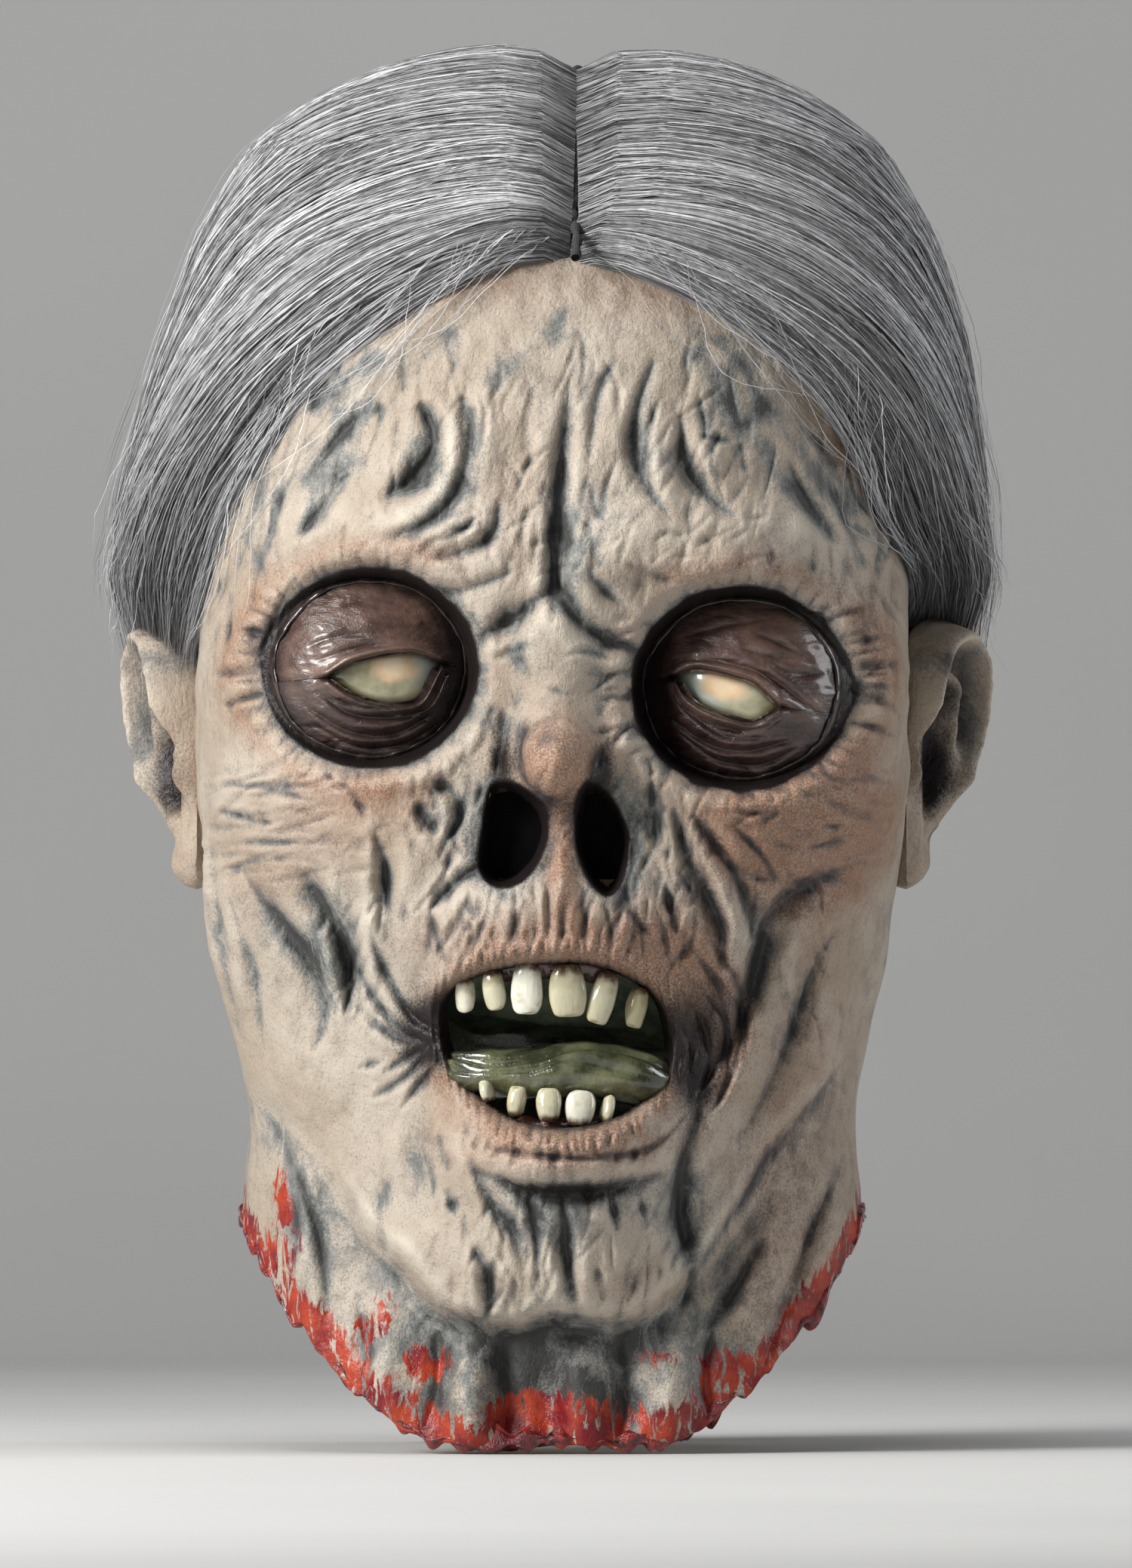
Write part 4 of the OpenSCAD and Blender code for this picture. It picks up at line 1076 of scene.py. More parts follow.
def make_bead(side, material):
    """The lumpy line of glue that seats the lids round the inside of the socket."""
    ex, ez = EYES[side]
    rx, rz = SOCKET[side]
    turn, round_ = crossed(circle(260), circle(14))
    thick = 1.0 + 0.35 * wiggle(turn * 9, turn * 0, 2, 3, 1.0)
    reach = 0.93 + 0.008 * np.sin(turn * 7)
    x = (rx * reach + thick * np.cos(round_)) * np.cos(turn)
    z = (rz * reach + thick * np.cos(round_)) * np.sin(turn)
    rho = np.hypot(x, z)
    y = EYE_Y - np.sqrt(np.maximum(LID_R**2 - rho**2, 16)) - thick * np.sin(round_) * 1.2
    points = np.stack([ex + x, y, ez + z], axis=-1).reshape(-1, 3)
    new_object(f"bead_{side}", points, ring_faces(260, 14), material, "socket_black", f"socket_bead_{side}")


def make_gore(material):
    """A wound roll of torn flesh along the neck's edge, with ragged flaps."""
    cols = 900
    a = np.linspace(0, 360, cols, endpoint=False)
    sides = 26
    rise = torn_edge(a)
    edge = np.stack([*around(a, rise), rise], axis=-1)
    r = np.radians(a)
    out = np.stack([np.sin(r), -np.cos(r), np.zeros(cols)], axis=1)
    t = circle(sides)[None, :]
    lump = wiggle(r[:, None] * 11, t * 0.9, 14, 4, 1.0)
    flap = np.clip(wiggle(r * 7, r * 3, 40, 3, 1.0), 0, 1)[:, None]
    rad = np.clip(1.5 + 0.6 * lump + 1.7 * flap, 0.9, 4.4)
    across = rad * np.cos(t) * 0.85
    along = rad * np.sin(t) * (1.15 + 0.5 * flap) + 1.8
    crease = 0.5 * np.sin(t * 3 + 9 * wiggle(r, r, 17, 3, 3.0)[:, None])
    points = edge[:, None, :] + out[:, None, :] * (across + crease - 0.8)[..., None]
    points[..., 2] += along + 1.2 * np.sin(r[:, None] * 57) * np.sin(t)
    points[..., 2] = np.maximum(points[..., 2], 0.3 + 0.5 * np.abs(np.sin(r[:, None] * 83)))
    new_object("torn_rim", points.reshape(-1, 3), ring_faces(cols, sides), material, "gore_latex", "gore_rim")


TEETH = {   # x, z, width, height, lean in degrees, paleness
    "upper": [
        (-23.6, 125.6, 5.8, 9.6, 4, 0.75), (-15.8, 127.0, 6.4, 11.0, -8, 0.45),
        (-6.8, 127.6, 8.8, 14.2, 1, 1.0), (4.4, 127.0, 10.4, 14.4, -2, 0.35),
        (14.0, 124.8, 7.6, 14.2, 17, 0.4), (23.2, 122.2, 6.2, 11.0, 12, 0.15),
    ],
    "lower": [
        (-17.7, 99.6, 3.8, 6.6, -18, 0.55), (-9.6, 96.4, 5.4, 8.2, 6, 0.4),
        (-0.8, 95.4, 7.0, 9.2, 0, 0.45), (7.8, 94.6, 8.4, 9.6, 4, 0.9), (15.2, 94.4, 3.8, 7.6, 16, 0.4),
    ],
}
ARCH_R = 34.0
ARCH_Y = -88.5 + ARCH_R


def make_teeth(material):
    """Crowned teeth on their arches: each one narrower and browner toward the gum."""
    for jaw, rows in TEETH.items():
        up = 1 if jaw == "upper" else -1
        for i, (x, z, w, h, lean, pale) in enumerate(rows, 1):
            v, t = crossed(np.linspace(0, math.pi, 22), circle(30))
            s = -np.cos(v)                      # from the root at -1 to the biting edge at 1
            square = signed_power(np.sin(v), 0.34)
            width = w / 2 * square * (0.86 + 0.14 * smooth((s + 1) / 1.3))
            deep = 2.3 * square * (1.0 - 0.42 * smooth((s + 0.2) / 1.2))
            c = signed_power(np.cos(t), 0.72)
            lx = width * c + 0.12 * wiggle(v * 2, t, i, 3, 1.0)
            ly = deep * signed_power(np.sin(t), 0.85) - 0.5 * (1 - c**2) * square
            ly += 0.35 * (lx / (w / 2)) ** 2
            lz = -up * s * h / 2 + 0.25 * np.sin(t * 2 + i) * (s > 0.8)
            along_arch = math.asin(x / ARCH_R)
            depth = ARCH_Y - (ARCH_R - 2.0) * math.cos(along_arch)
            lx, lz = turned(lx, lz, -math.radians(lean))
            lx, ly = turned(lx, ly, along_arch * 0.8)
            root = smooth((-s - 0.15) / 0.8) * 0.9
            new_grid(f"tooth_{jaw}_{i}", (x + lx, depth + ly, z + lz), material, "tooth_resin",
                     f"{jaw}_tooth_{i}", wash=root, pale=np.full(s.shape, pale))


def make_gum(jaw, z0, half_deg, material):
    """A bowed gum, swollen round the root of each tooth."""
    up = 1 if jaw == "upper" else -1
    a, t = crossed(np.radians(np.linspace(-half_deg, half_deg, 160)), circle(28))
    swell = np.zeros(a.shape)
    for x, *_ in TEETH[jaw]:
        swell += 0.9 * bell(a - math.asin(x / ARCH_R), 0.07)
    ends = np.sqrt(np.clip(1 - (a / math.radians(half_deg + 1)) ** 8, 0, 1))
    r = (4.0 + swell + 0.3 * wiggle(a * 20, t, 7, 3, 1.0)) * ends
    out = ARCH_R - 8.2 + r * np.cos(t) * 0.95
    xyz = out * np.sin(a), ARCH_Y - out * np.cos(a), z0 + up * 0.5 + r * np.sin(t) * 1.1
    new_grid(f"gum_{jaw}", xyz, material, "gum_latex", f"{jaw}_gum")


def make_tongue(material):
    """A thick dead tongue lying across the lower teeth, lumpy and grooved."""
    u, t = crossed(np.linspace(-1, 1, 150), circle(60))
    ends = np.clip(1 - np.abs(u) ** 5, 0, 1) ** 0.5
    x = 1 + 35 * u
    r = 9.0 * ends * (1 + 0.16 * wiggle(u * 3, t * 0.8, 31, 3, 1.0))
    front = r * signed_power(np.cos(t), 0.8) * 1.5
    lift = r * np.sin(t) * 0.85
    groove = 1.3 * bell(t - 0.75 - 0.25 * np.sin(u * 4), 0.16)
    groove = groove + 0.9 * bell(t - 0.1 - 0.2 * np.sin(u * 5 + 1), 0.14)
    y = -73 - front + 1.5 * groove * ends + 7 * u**2
    z = 104.2 - 2.2 * u + 1.6 * np.sin(u * 3.5 + 0.6) + lift - groove * ends
    z = z + 0.8 * wiggle(u * 7, t * 1.2, 33, 3, 1.0) * ends
    new_grid("tongue_cast", (x, y, z), material, "tongue_latex", "tongue")


def make_liner(material):
    """The ribbed wet pocket behind the lips."""
    v, t = crossed(np.linspace(0, 1, 70), circle(120))
    close = np.clip(1 - ((v - 0.25) / 0.75).clip(0) ** 2.4, 0, 1) ** 0.5
    ribs = 0.7 * np.sin(v * 46 + 1.5 * wiggle(v * 3, t * 2, 19, 3, 1.0)) * (1 - v)
    ribs = ribs + 0.8 * wiggle(v * 5, t * 3, 20, 3, 1.0)
    w = (38.5 + ribs) * close
    roof = 1 - 0.82 * smooth((v - 0.2) / 0.33) * smooth(np.sin(t) * 2)
    h = (33.0 + ribs) * close * roof
    x = w * np.cos(t)
    z = 112 + h * np.sin(t) - 0.1 * x + 1.5 * np.sin(x * 0.16 + v * 9) * smooth(np.sin(t) * 2) * v
    mouth_front = front_y(x * 0.95, np.clip(z, 70, 150)) + 2.5
    y = mouth_front * (1 - v) + (-39) * v
    liner = new_grid("liner", (x, y, z), material, "mouth_latex", "mouth_liner")
    liner.data.flip_normals()
    solidify(liner, 1.6, offset=1.0)


EAR_OUTLINE = [
    (2, 31), (12, 30.5), (20, 24), (21.5, 12), (18, -2), (12, -15), (6, -27), (0, -36), (-7, -37.5),
    (-11.5, -30), (-11, -14), (-12, 2), (-10, 18), (-5, 27),
]


# Ridges of an ear: half width, height, points
EAR_RIDGES = [
    (3.0, 10.0, (-9, -2), (-9, 12), (-5, 23), (4, 27.5), (13, 25.5), (17.5, 17), (16, 2), (10.5, -12),
     (6, -20)),
    (2.8, 5.5, (0, 20), (8, 15), (10, 5), (7, -8), (2, -17), (-3, -19)),
    (2.0, 3.0, (-5, 13), (2, 12), (8, 13)),
]
EAR_LUMPS = [
    (-9, -8, 3.6, 6, 6.0), (-1, -21, 4, 3, 4.0), (-3, -31, 6.5, 7, 4.0), (0, -5, 8.5, 12, -6.2),
    (13, 12, 2.6, 13, -4.5), (5, 20, 5, 4, -3.0),
]
# Painted shade in the ear's deep shell: x, z, half width, half height, strength
EAR_SHADE = [(0, -5, 8.5, 13, 1.5), (3, 11, 7, 6, 0.8)]
EAR_WASH = [(12.5, 10, 3.4, 16, 1.1), (-2, 20, 8, 4, 0.9), (5, -24, 4, 5, 0.6)]
EAR_SCALE = 1.08
EAR_OUT = 99.2          # from the head's middle to the ear's root
SKIN_OUT = 97.5         # the ear's face never lies further in than this


def ear_relief(p, q, d):
    """How far an ear's face stands out, at places p, q that are d inside its outline."""
    height = np.full(p.shape, 4.5) + blobs(p, q, EAR_LUMPS, 2.2) + 0.35 * wiggle(p, q, 13, 3, 0.3)
    for wide, tall, *points in EAR_RIDGES:
        gap, along, _ = nearest(p, q, curve(points))
        height += tall * np.clip(np.minimum(along, 1 - along) * 6 + 0.25, 0, 1) * bell(gap, wide, 2.4)
    round_edge = np.sqrt(np.clip(1 - (1 - np.clip(d / 3.2, 0, 1)) ** 2, 0, 1))
    return height, np.maximum(height * round_edge + 1.5 * (1 - round_edge), 0.9)


def make_ear(side, sign, flare, material):
    """An ear with a rolled helix, an inner fold, a deep shell painted dark as shade, and a hanging lobe."""
    rim = curve(EAR_OUTLINE, 1.0, True)
    rows, cols = 46, len(rim)
    centre = np.array([1.0, -3.0])
    t = np.linspace(0.02, 1, rows)[:, None]
    p, q = np.moveaxis(centre + (rim - centre)[None] * t[..., None], -1, 0)
    d = -signed(p, q, rim)[0]
    height, face = ear_relief(p, q, d)
    back = 1.5 - 9.0 * np.sqrt(np.clip(1 - t**2, 0, 1)) * np.ones(p.shape)
    outer = np.stack([face, p, q], axis=-1).reshape(-1, 3)
    rear = np.stack([back, p, q], axis=-1)[:-1].reshape(-1, 3)      # it shares the rim's points
    face_quads = grid_faces(rows, cols, True)
    last_row = (rows - 1) * cols
    rear_index = np.append(np.arange(rows * cols, rows * cols + last_row), np.arange(last_row, rows * cols))
    faces = np.vstack([face_quads, rear_index[face_quads][:, ::-1]])
    lx, ly, lz = np.vstack([outer, rear]).T
    lx, lz = turned(lx, lz, -math.radians(4))
    gx, gy = turned(lx, ly, -math.radians(flare))
    pad = np.zeros(last_row)
    clear_of_skin = np.append(SKIN_OUT + 4.4 * smooth((d.ravel() - 1) / 4), pad)
    x = sign * np.maximum(EAR_OUT + gx, clear_of_skin)
    points = np.stack([x, 2 + gy * EAR_SCALE, 195 + lz * EAR_SCALE], axis=1)
    fields = dict(
        wash=np.append(blobs(p, q, EAR_WASH), pad + 0.25), dark=np.append(blobs(p, q, EAR_SHADE), pad),
        warm=np.append(np.full(p.size, 0.2), pad), pale=np.append(np.clip((height - 9) / 8, 0, 1), pad),
        blood=np.zeros(p.size + pad.size),
    )
    new_object(f"ear_{side}_cast", points, faces if sign > 0 else faces[:, ::-1], material, "painted_latex",
               f"ear_{side}", **fields)


# ---- hair ----

PARTING_X = 7.0
HAIR_Z = [100, 130, 170, 211, 240, 262, 300, 340, 373]
HAIR_T = [4, 5, 10, 12, 20, 20, 17, 14, 13]


def hair_thickness(z):
    """How far the outside of the hair stands from the core."""
    return np.interp(z, HAIR_Z, HAIR_T)


def ray_to_surface(direction, grow=0.0):
    """Where rays from the middle of the head meet the outside of the hair."""
    d = direction / np.linalg.norm(direction, axis=-1, keepdims=True)
    lo = np.zeros(d.shape[:-1])
    hi = np.full(d.shape[:-1], 190.0)
    for _ in range(26):
        mid = (lo + hi) / 2
        p = HEAD_MIDDLE + d * mid[..., None]
        g = hair_thickness(p[..., 2]) + grow
        lift = g * smooth((p[..., 2] - 290) / 80)
        z = p[..., 2] - lift
        depth = np.where(p[..., 1] < 0, core(z, 2), core(z, 3)) + g
        power = np.where(p[..., 1] < 0, FRONT_POWER, BACK_POWER)
        v = np.abs(p[..., 0] / (core(z, 1) + g)) ** 2 + np.abs(p[..., 1] / depth) ** (2 / power)
        outside = (v > 1) | (z > CROWN_Z)
        hi = np.where(outside, mid, hi)
        lo = np.where(outside, lo, mid)
    found = HEAD_MIDDLE + d * lo[..., None]
    found[..., 0] += 4.0 * smooth((found[..., 2] - 245) / 75) * smooth(np.abs(found[..., 0] - 7) / 45)
    return found


# The foremost guide hair of each half, written as the left one
HAIRLINES = {
    -1: [
        (5, -76, 333), (-31, -76, 321), (-66, -66, 291), (-86, -52, 262), (-94, -36, 238),
        (-100, -12, 219), (-106, 8, 204),
    ],
    1: [
        (9, -76, 333), (-25, -77, 317), (-59, -68, 291), (-76, -58, 271), (-86, -48, 254),
        (-97, -14, 236), (-106, 16, 222),
    ],
}
# The other guide hairs of the left half, from the parting to the tips. The right half mirrors them.
GUIDES = [
    [
        (6, -80, 345), (-26, -76, 341), (-58, -66, 324), (-88, -48, 292), (-106, -22, 258),
        (-115, 18, 228), (-107, 46, 192),
    ],
    [
        (7, -52, 372), (-32, -48, 367), (-68, -38, 347), (-98, -22, 311), (-113, -2, 270),
        (-116, 32, 228), (-104, 56, 178),
    ],
    [
        (7, 2, 386), (-36, 2, 380), (-76, 4, 356), (-106, 10, 314), (-117, 22, 268), (-112, 46, 216),
        (-99, 66, 160),
    ],
    [
        (7, 50, 378), (-36, 50, 370), (-74, 48, 344), (-102, 48, 298), (-110, 54, 250), (-104, 66, 204),
        (-94, 78, 158),
    ],
    [
        (7, 92, 345), (-30, 90, 336), (-62, 86, 308), (-86, 84, 264), (-92, 86, 218), (-84, 90, 176),
        (-74, 94, 138),
    ],
    [
        (7, 114, 300), (-18, 112, 288), (-40, 110, 262), (-56, 110, 228), (-58, 108, 192),
        (-52, 106, 158), (-46, 104, 128),
    ],
    [
        (9, 123, 250), (9, 122, 236), (8, 121, 216), (8, 118, 196), (7, 114, 172), (8, 110, 148),
        (9, 106, 126),
    ],
]


def hair_surface(side, t, s):
    """Directions from the head's middle for places on one half: t across the guides, s along them."""
    rows = np.array([HAIRLINES[side]] + GUIDES, float)
    if side > 0:
        rows[..., 0] = 2 * PARTING_X - rows[..., 0]
    rows = rows - HEAD_MIDDLE
    fine = np.array([curve_at(row, np.linspace(0, 1, 41)) for row in rows])
    u = np.clip(t, -0.2, 1) * (len(rows) - 1)
    i = np.clip(u.astype(int), 0, len(rows) - 2)
    f = (u - i)[..., None]
    v = np.clip(s, 0, 1) * 40
    j = np.minimum(v.astype(int), 39)
    g = (v - j)[..., None]
    near = fine[i, j] * (1 - g) + fine[i, j + 1] * g
    far = fine[i + 1, j] * (1 - g) + fine[i + 1, j + 1] * g
    return near * (1 - f) + far * f


def laid(side, t, s):
    """Points on the outside of the hair for places on one half, and the directions out from there."""
    points = ray_to_surface(hair_surface(side, t, s))
    return points, outward(points)


def outward(points):
    """Unit directions away from the middle of the hair."""
    out = points - HAIR_MIDDLE
    return out / np.linalg.norm(out, axis=-1, keepdims=True)


def wander(rng, count, m, amount):
    """Small random steps that add up along each of count hairs of m points."""
    return np.cumsum(rng.normal(size=(count, m, 3)) * amount, axis=1)


def curve_at(points, s):
    """Points at even parameters along a smooth line through points."""
    line = curve(points, 2.0)
    run = np.append(0, np.cumsum(np.linalg.norm(np.diff(line, axis=0), axis=1)))
    return np.stack([np.interp(s, run / run[-1], line[:, k]) for k in range(line.shape[1])], axis=1)


def ribbons(paths, width, rng):
    """Flat tapered ribbons along paths, lying close to the head: points, faces."""
    n, m, _ = paths.shape
    along = np.gradient(paths, axis=1)
    out = outward(paths) + rng.normal(size=(n, 1, 3)) * 0.45
    across = np.cross(along, out)
    across /= np.maximum(np.linalg.norm(across, axis=-1, keepdims=True), 1e-9)
    s = np.linspace(0, 1, m)[None, :, None]
    half = width[:, None, None] * 0.5 * np.clip((1 - s) * 5, 0.15, 1)
    points = np.stack([paths - across * half, paths + across * half], axis=2).reshape(-1, 3)
    base = (np.arange(n)[:, None] * m + np.arange(m - 1)[None]) * 2
    faces = np.stack([base, base + 1, base + 3, base + 2], axis=-1).reshape(-1, 4)
    return points, faces


def lie_down(points, t, s):
    """How far the hair drops to the latex: in the parting, and along the hairline."""
    room = hair_thickness(points[..., 2]) - 2.0
    return -7.5 * bell(s, 0.035, 1.3) - room * bell(np.clip(t, 0, 1), 0.05, 1.4)


def make_hair(side, name, t0, t1, count, material, replaces=None):
    """Thousands of hairs between two guides, in loose clumps, each with its own tone."""
    rng = np.random.default_rng(int(100 * t0) + 7 * side + 50)
    m = 24
    each = (count, 1)
    t = rng.uniform(t0, t1, count)
    clump = np.round(t * 240 + rng.normal(size=count) * 0.8) / 240
    s = np.linspace(0, 1, m)[None]
    length = rng.uniform(0.84, 1.0, count)[:, None] - 0.14 * (rng.random(each) ** 3)
    pull = 0.42 * smooth(s * 1.2)
    drift = rng.normal(size=each) * 0.011 * np.sin(s * 5 + rng.uniform(0, 6.28, each))
    tt = t[:, None] * (1 - pull) + clump[:, None] * pull + drift
    tt += 0.006 * np.sin(clump[:, None] * 210 + s * 4)
    loose = rng.random(each) < 0.05
    tt += np.where(loose, rng.normal(size=each) * 0.045 * s**1.2, 0)
    tt += 0.022 * rng.normal(size=each) * s
    points, out = laid(side, tt, s * length)
    depth = -2.4 * rng.random(each) + 0.4 + 0.35 * np.sin(clump[:, None] * 533 + s * 3)
    depth = depth + lie_down(points, tt, s)
    depth += np.where(loose, rng.uniform(0.5, 3.0, each) * s**2 + rng.normal(size=each) * 2.0 * s**3, 0)
    points = points + out * depth[..., None] + wander(rng, count, m, 0.25) * (0.3 + s[..., None])
    tone = rng.normal(0.78, 0.26, count) + 0.14 * np.sin(clump * 400) - (rng.random(count) < 0.3) * 0.5
    verts, faces = ribbons(points, rng.uniform(0.18, 0.34, count), rng)
    s = s.ravel()
    # Painted shade along each hair: darker at the root in the parting, and darker toward the tip low on the
    # sides
    shade = (0.4 + 0.6 * smooth(s / 0.08)) * (1 - 0.58 * smooth((s - 0.38) / 0.5))
    tones_with_shade = np.repeat(np.clip(tone, 0.02, 1)[:, None] * shade, 2)
    new_object(name, verts, faces, material, "grey_hair", replaces, tone=tones_with_shade)


def make_under_hair(side, name, material):
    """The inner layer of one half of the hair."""
    t, s = crossed(np.linspace(0, 1, 90), np.linspace(0, 0.93, 120))
    points, out = laid(side, t, s)
    fold = 0.5 * np.sin(t * 290 + s * 4) - 3.6 - 2.5 * smooth((s - 0.8) / 0.13) + lie_down(points, t, s)
    xyz = np.moveaxis(points + out * fold[..., None], -1, 0)
    layer = new_grid(name, xyz, material, "grey_hair", wrap=False, flip=side < 0)
    uv = layer.data.uv_layers.new(name="strands")
    index = np.empty(len(layer.data.loops), np.int32)
    layer.data.loops.foreach_get("vertex_index", index)
    pairs = np.stack([t.ravel()[index], s.ravel()[index]], axis=1).astype(np.float32)
    uv.data.foreach_set("uv", pairs.ravel())
    solidify(layer, 4.0)


def make_flyaways(material):
    """Single hairs that stand clear of the head, along the outline and below the ears."""
    rng = np.random.default_rng(77)
    count = 520
    m = 20
    side = np.where(rng.random(count) < 0.5, -1, 1)
    s = np.linspace(0, 1, m)[None]
    paths = np.zeros((count, m, 3))
    for k in (-1, 1):
        mine = side == k
        n = int(mine.sum())
        t = rng.uniform(0.02, 0.75, (n, 1)) + rng.normal(size=(n, 1)) * 0.10 * s
        start = rng.uniform(0.1, 0.75, (n, 1))
        ss = start + (1.0 - start) * s * rng.uniform(0.4, 1.0, (n, 1))
        p, out = laid(k, np.clip(t, 0, 1), ss)
        lift = rng.uniform(1.0, 6.5, (n, 1)) * np.sin(np.clip(s * 1.5, 0, 1.57)) ** 2
        lift = lift + 9 * rng.random((n, 1)) ** 2 * (start + 0.3) * s**2
        paths[mine] = p + out * lift[..., None] + wander(rng, n, m, 0.35)
    paths[..., 0] = np.clip(paths[..., 0], -126, 129)
    paths[..., 2] = np.clip(paths[..., 2], 110, 398)
    verts, faces = ribbons(paths, rng.uniform(0.16, 0.26, count), rng)
    tone = np.repeat(rng.uniform(0.2, 0.9, count), m * 2)
    new_object("flyaway_hair", verts, faces, material, "grey_hair", tone=tone)


def make_strays(material):
    """A few fine hairs that have slipped forward over the forehead and temples."""
    rng = np.random.default_rng(91)
    m = 24
    s = np.linspace(0, 1, m)[None]
    for side, word, count in ((-1, "left", 46), (1, "right", 60)):
        t = 0.03 - rng.uniform(0.02, 0.16, (count, 1)) * np.sin(s * rng.uniform(1.2, 3.0, (count, 1)))
        ss = rng.uniform(0, 0.5, (count, 1)) + 0.5 * s * rng.uniform(0.4, 1.0, (count, 1))
        paths, out = laid(side, t, ss)
        depth = lie_down(paths, t, ss) + rng.uniform(0.5, 3.5, (count, 1))
        paths = paths + out * depth[..., None] + wander(rng, count, m, 0.25)
        verts, faces = ribbons(paths, rng.uniform(0.14, 0.24, count), rng)
        tone = np.repeat(rng.uniform(0.35, 1.0, count), m * 2)
        new_object(f"stray_hair_{word}", verts, faces, material, "grey_hair", tone=tone)


CAP_EDGE = [   # angle from the front in degrees, height of the cloth's edge
    (0, 346), (15, 341), (22, 337), (32, 326), (41, 316), (48, 308), (56, 300), (64, 292), (74, 274),
    (85, 256), (95, 240), (110, 222), (130, 203), (150, 182), (180, 172),
]


def make_cap(material):
    """The thin cloth cap that the hair is sewn to, with its edge turned over."""
    t, a = crossed(np.linspace(0, 1, 90), np.linspace(-180, 180, 240, endpoint=False))
    edge = np.interp(np.abs(a), *np.transpose(CAP_EDGE))
    z = edge + (CROWN_Z - edge) * np.sin(t * math.pi / 2)
    hem = 0.5 * bell((z - edge) - 2.0, 1.6)
    x, y = around(a, z, 0.8 + hem)
    z = z + 0.8 * smooth((z - 300) / 70)
    solidify(new_grid("cap", (x, y, z), material, "cap_cloth", "wig_cap"), 0.6)


def make_seam(material):
    """The sewn parting: a slightly wavy raised track with a stitch every 2.2 mm."""
    s = np.linspace(0, 1, 220)
    track = np.array([(6.8, -84, 331), (7, -74, 352), (7, -50, 371), (7, 0, 380), (7, 48, 374)]) - HEAD_MIDDLE
    line = ray_to_surface(curve_at(track, s), -7.0)
    line[:, 0] += 0.5 * np.sin(s * 40)
    bead = (1.0 + 0.25 * np.sin(s * 200 * 0.95))[:, None, None]
    up = line - [6.8, 5, 240]
    up /= np.linalg.norm(up, axis=1, keepdims=True)
    t = circle(12)[None, :, None]
    points = line[:, None] + bead * (np.cos(t) * [1.2, 0, 0] + np.sin(t) * up[:, None] * 1.4)
    new_grid("parting", np.moveaxis(points, -1, 0), material, "seam_thread", "parting_seam")


def soft_copy(node, name, material, puff):
    """A rounded foam pad made from a CAD pad: evenly remeshed, with its edges softened."""
    obj = placed(name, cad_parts[node].data.copy())
    obj.data.materials.clear()
    obj.data.materials.append(material)
    remesh = obj.modifiers.new("even", "REMESH")
    remesh.mode = "VOXEL"
    remesh.voxel_size = 0.0022
    relax = obj.modifiers.new("round", "SMOOTH")
    relax.iterations = puff
    bpy.context.view_layer.update()
    dg = bpy.context.evaluated_depsgraph_get()
    baked = bpy.data.meshes.new_from_object(obj.evaluated_get(dg))
    obj.modifiers.clear()
    obj.data = baked
    baked.polygons.foreach_set("use_smooth", np.ones(len(baked.polygons), bool))
    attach(obj, "root")
    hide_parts(node)


def make_gauze(side, x, material):
    """Black gauze stretched behind a nasal opening."""
    v, u = crossed(np.linspace(-1, 1, 40), np.linspace(-1, 1, 40))
    r = 12.0
    px = x + r * u * np.sqrt(1 - v**2 / 2)
    pz = 169 + r * v * np.sqrt(1 - u**2 / 2)
    py = -82.0 + 0.25 * np.sin(u * 9) * np.cos(v * 7)
    gauze = new_grid(f"gauze_{side}", (px, py, pz), material, "gauze", f"nostril_mesh_{side}", wrap=False)
    solidify(gauze, 0.3, offset=0.0)


# ---- the stage ----


CAMERA_DISTANCE = 8.0
VIEW_HEIGHT = 0.431     # metres that the picture shows from top to bottom, at the mask
LIGHT_AIM = (0, 0, 0.2)
LIGHTS = [   # name, place, size, power, colour
    ("key", (-1.25, -1.0, 0.9), (0.55, 0.8), 44, (1.0, 0.985, 0.965)),
    ("rim", (1.4, 0.05, 0.6), (0.4, 0.9), 7, (0.97, 0.985, 1.0)),
    ("fill", (0.6, -2.0, 0.4), (1.2, 1.2), 2.0, (1.0, 1.0, 1.0)),
    ("top", (-0.15, -0.3, 1.6), (0.8, 0.8), 11, (1.0, 1.0, 1.0)),
]


def make_stage():
    """A pale sweep of floor and backdrop, soft lights and a long lens from the front."""
    width = 30.0
    profile = [(-40.0, 0.0), (1.2, 0.0)]
    profile += [(1.2 + 0.8 * math.sin(a), 0.8 - 0.8 * math.cos(a)) for a in np.linspace(0.1, math.pi / 2, 12)]
    profile += [(2.0, 9.0)]
    points = [(x, y, z) for y, z in profile for x in (-width, width)]
    mesh = bpy.data.meshes.new("floor")
    mesh.from_pydata(points, [], [(2 * i, 2 * i + 1, 2 * i + 3, 2 * i + 2) for i in range(len(profile) - 1)])
    mesh.materials.append(floor_paint())
    mesh.polygons.foreach_set("use_smooth", np.ones(len(mesh.polygons), bool))
    placed("floor", mesh)

    for name, place, size, power, colour in LIGHTS:
        data = bpy.data.lights.new(name, "AREA")
        data.shape = "RECTANGLE"
        data.size, data.size_y = size
        data.energy = power
        data.color = colour
        light = placed(name, data)
        light.location = place
        light.rotation_mode = "QUATERNION"
        light.rotation_quaternion = (Vector(LIGHT_AIM) - Vector(place)).to_track_quat("-Z", "Y")

    world = bpy.data.worlds.new("room")
    bpy.context.scene.world = world
    world.use_nodes = True
    sky = world.node_tree.nodes["Background"]
    sky.inputs["Color"].default_value = (0.9, 0.95, 1.0, 1.0)
    sky.inputs["Strength"].default_value = 0.035
    bpy.context.scene.view_settings.view_transform = "Standard"

    camera = bpy.data.cameras.new("camera")
    camera.lens = camera.sensor_width * CAMERA_DISTANCE / VIEW_HEIGHT
    camera.clip_end = 30
    view = placed("camera", camera)
    view.location = (0.0022, -CAMERA_DISTANCE - 0.02, 0.183)
    view.rotation_euler = (math.pi / 2, 0, 0)
    bpy.context.scene.camera = view


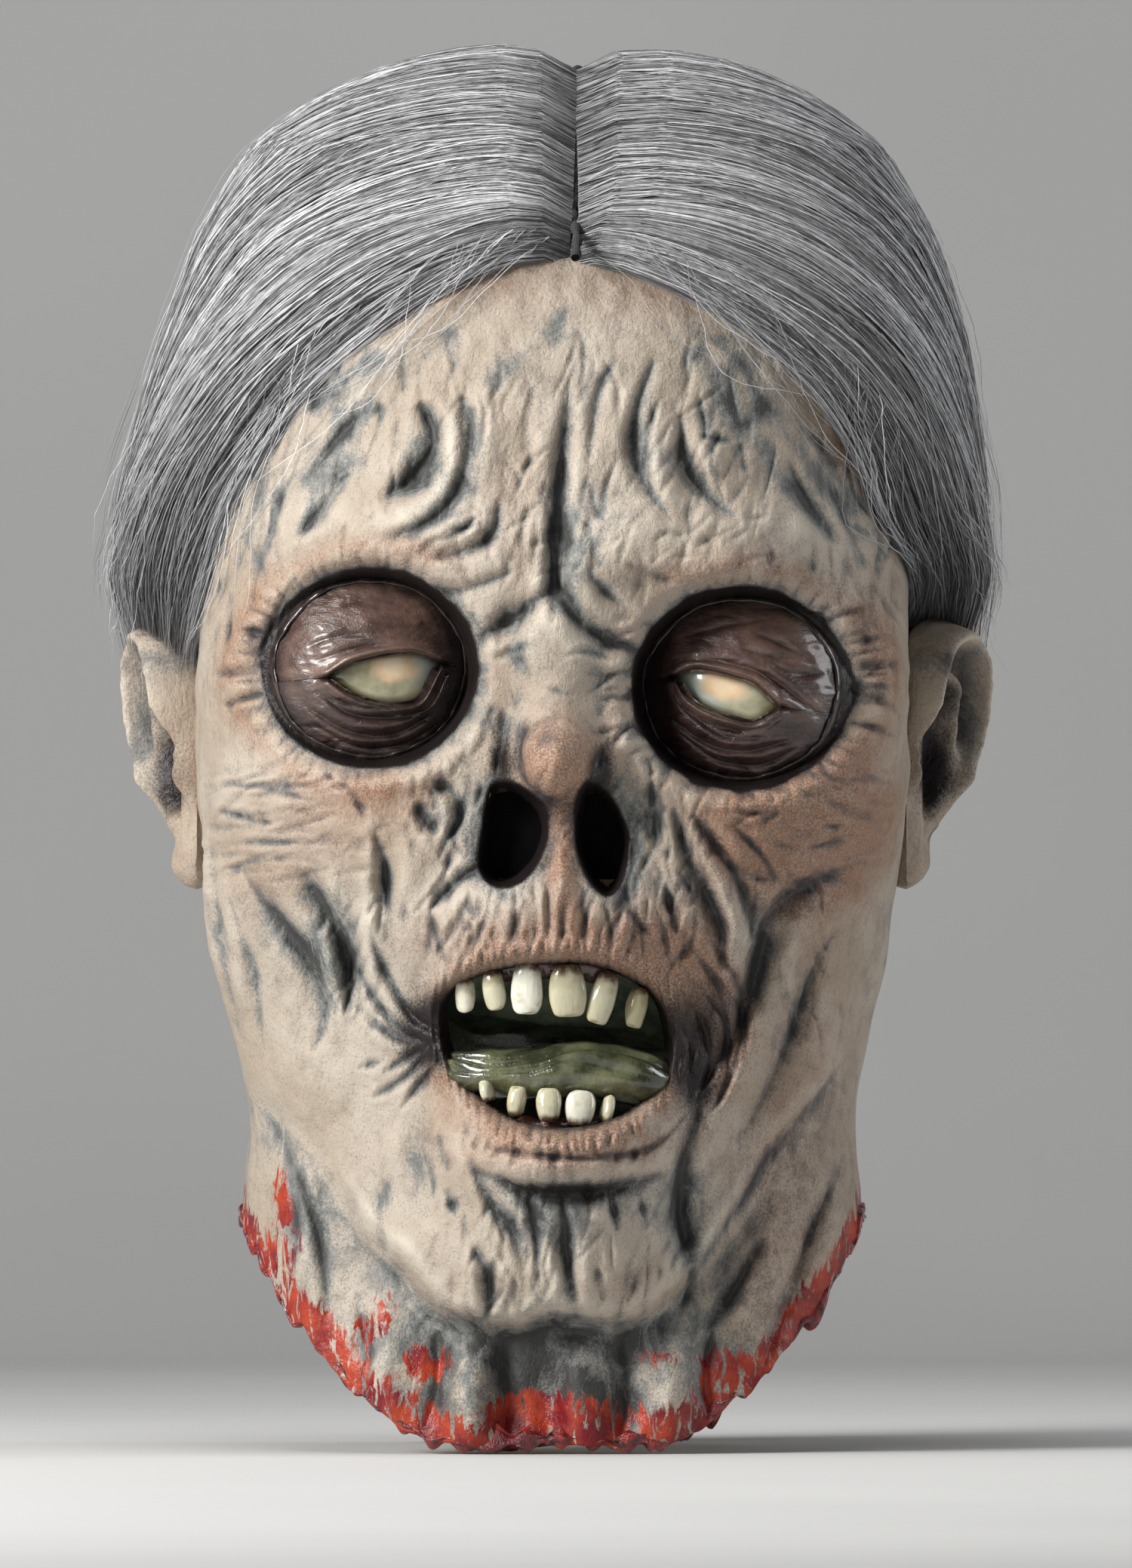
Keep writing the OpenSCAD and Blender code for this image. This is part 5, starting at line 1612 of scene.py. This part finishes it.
def make_everything():
    """Every piece of the mask, with its paint."""
    skin = skin_paint()
    make_skin(skin, raw_latex_paint())
    lids = lid_paint()
    eyes = eye_paint()
    black = socket_paint()
    for side in EYES:
        make_eyeball(side, eyes)
        make_bead(side, black)
        for up in (1, -1):
            make_lid(side, up, lids)
    make_gore(gore_paint())
    make_ear("left", -1, 16, skin)
    make_ear("right", 1, 30, skin)
    make_teeth(tooth_paint())
    gums = wet_paint("gum_latex", (0.030, 0.012, 0.010), (0.16, 0.055, 0.045))
    make_gum("upper", 133.5, 42, gums)
    make_gum("lower", 88.0, 40, gums)
    make_tongue(wet_paint("tongue_latex", (0.032, 0.036, 0.018), (0.155, 0.165, 0.085), 90))
    make_liner(wet_paint("mouth_latex", (0.045, 0.060, 0.045), (0.150, 0.180, 0.120), 70, 1.2))
    gauze = weave_paint("gauze", (0.002, 0.002, 0.002), (0.008, 0.008, 0.008), 900)
    make_gauze("left", -11, gauze)
    make_gauze("right", 15, gauze)
    strands = strand_paint()
    under = under_hair_paint()
    for side, word in ((-1, "left"), (1, "right")):
        make_under_hair(side, f"under_hair_{word}", under)
        make_hair(side, f"hair_{word}_front", 0.0, 0.3, 4200, strands, f"hair_{word}")
        make_hair(side, f"hair_{word}_side", 0.3, 0.62, 4200, strands)
        make_hair(side, f"hair_{word}_back", 0.62, 1.0, 3800, strands)
    make_flyaways(strands)
    make_strays(strands)
    make_seam(weave_paint("seam_thread", (0.03, 0.03, 0.03), (0.14, 0.14, 0.14), 700))
    make_cap(weave_paint("cap_cloth", (0.02, 0.02, 0.02), (0.07, 0.065, 0.06), 500))
    foam = foam_paint()
    for node in ("crown_pad", "brow_pad", "rear_pad"):
        soft_copy(node, f"{node}_foam", foam, 6)


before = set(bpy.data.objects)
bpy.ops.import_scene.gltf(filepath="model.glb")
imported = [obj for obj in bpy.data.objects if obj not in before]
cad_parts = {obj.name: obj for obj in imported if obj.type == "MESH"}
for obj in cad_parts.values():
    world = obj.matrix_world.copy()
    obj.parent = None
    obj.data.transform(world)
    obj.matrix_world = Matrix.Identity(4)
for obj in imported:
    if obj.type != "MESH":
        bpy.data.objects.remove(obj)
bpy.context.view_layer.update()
make_everything()
make_stage()
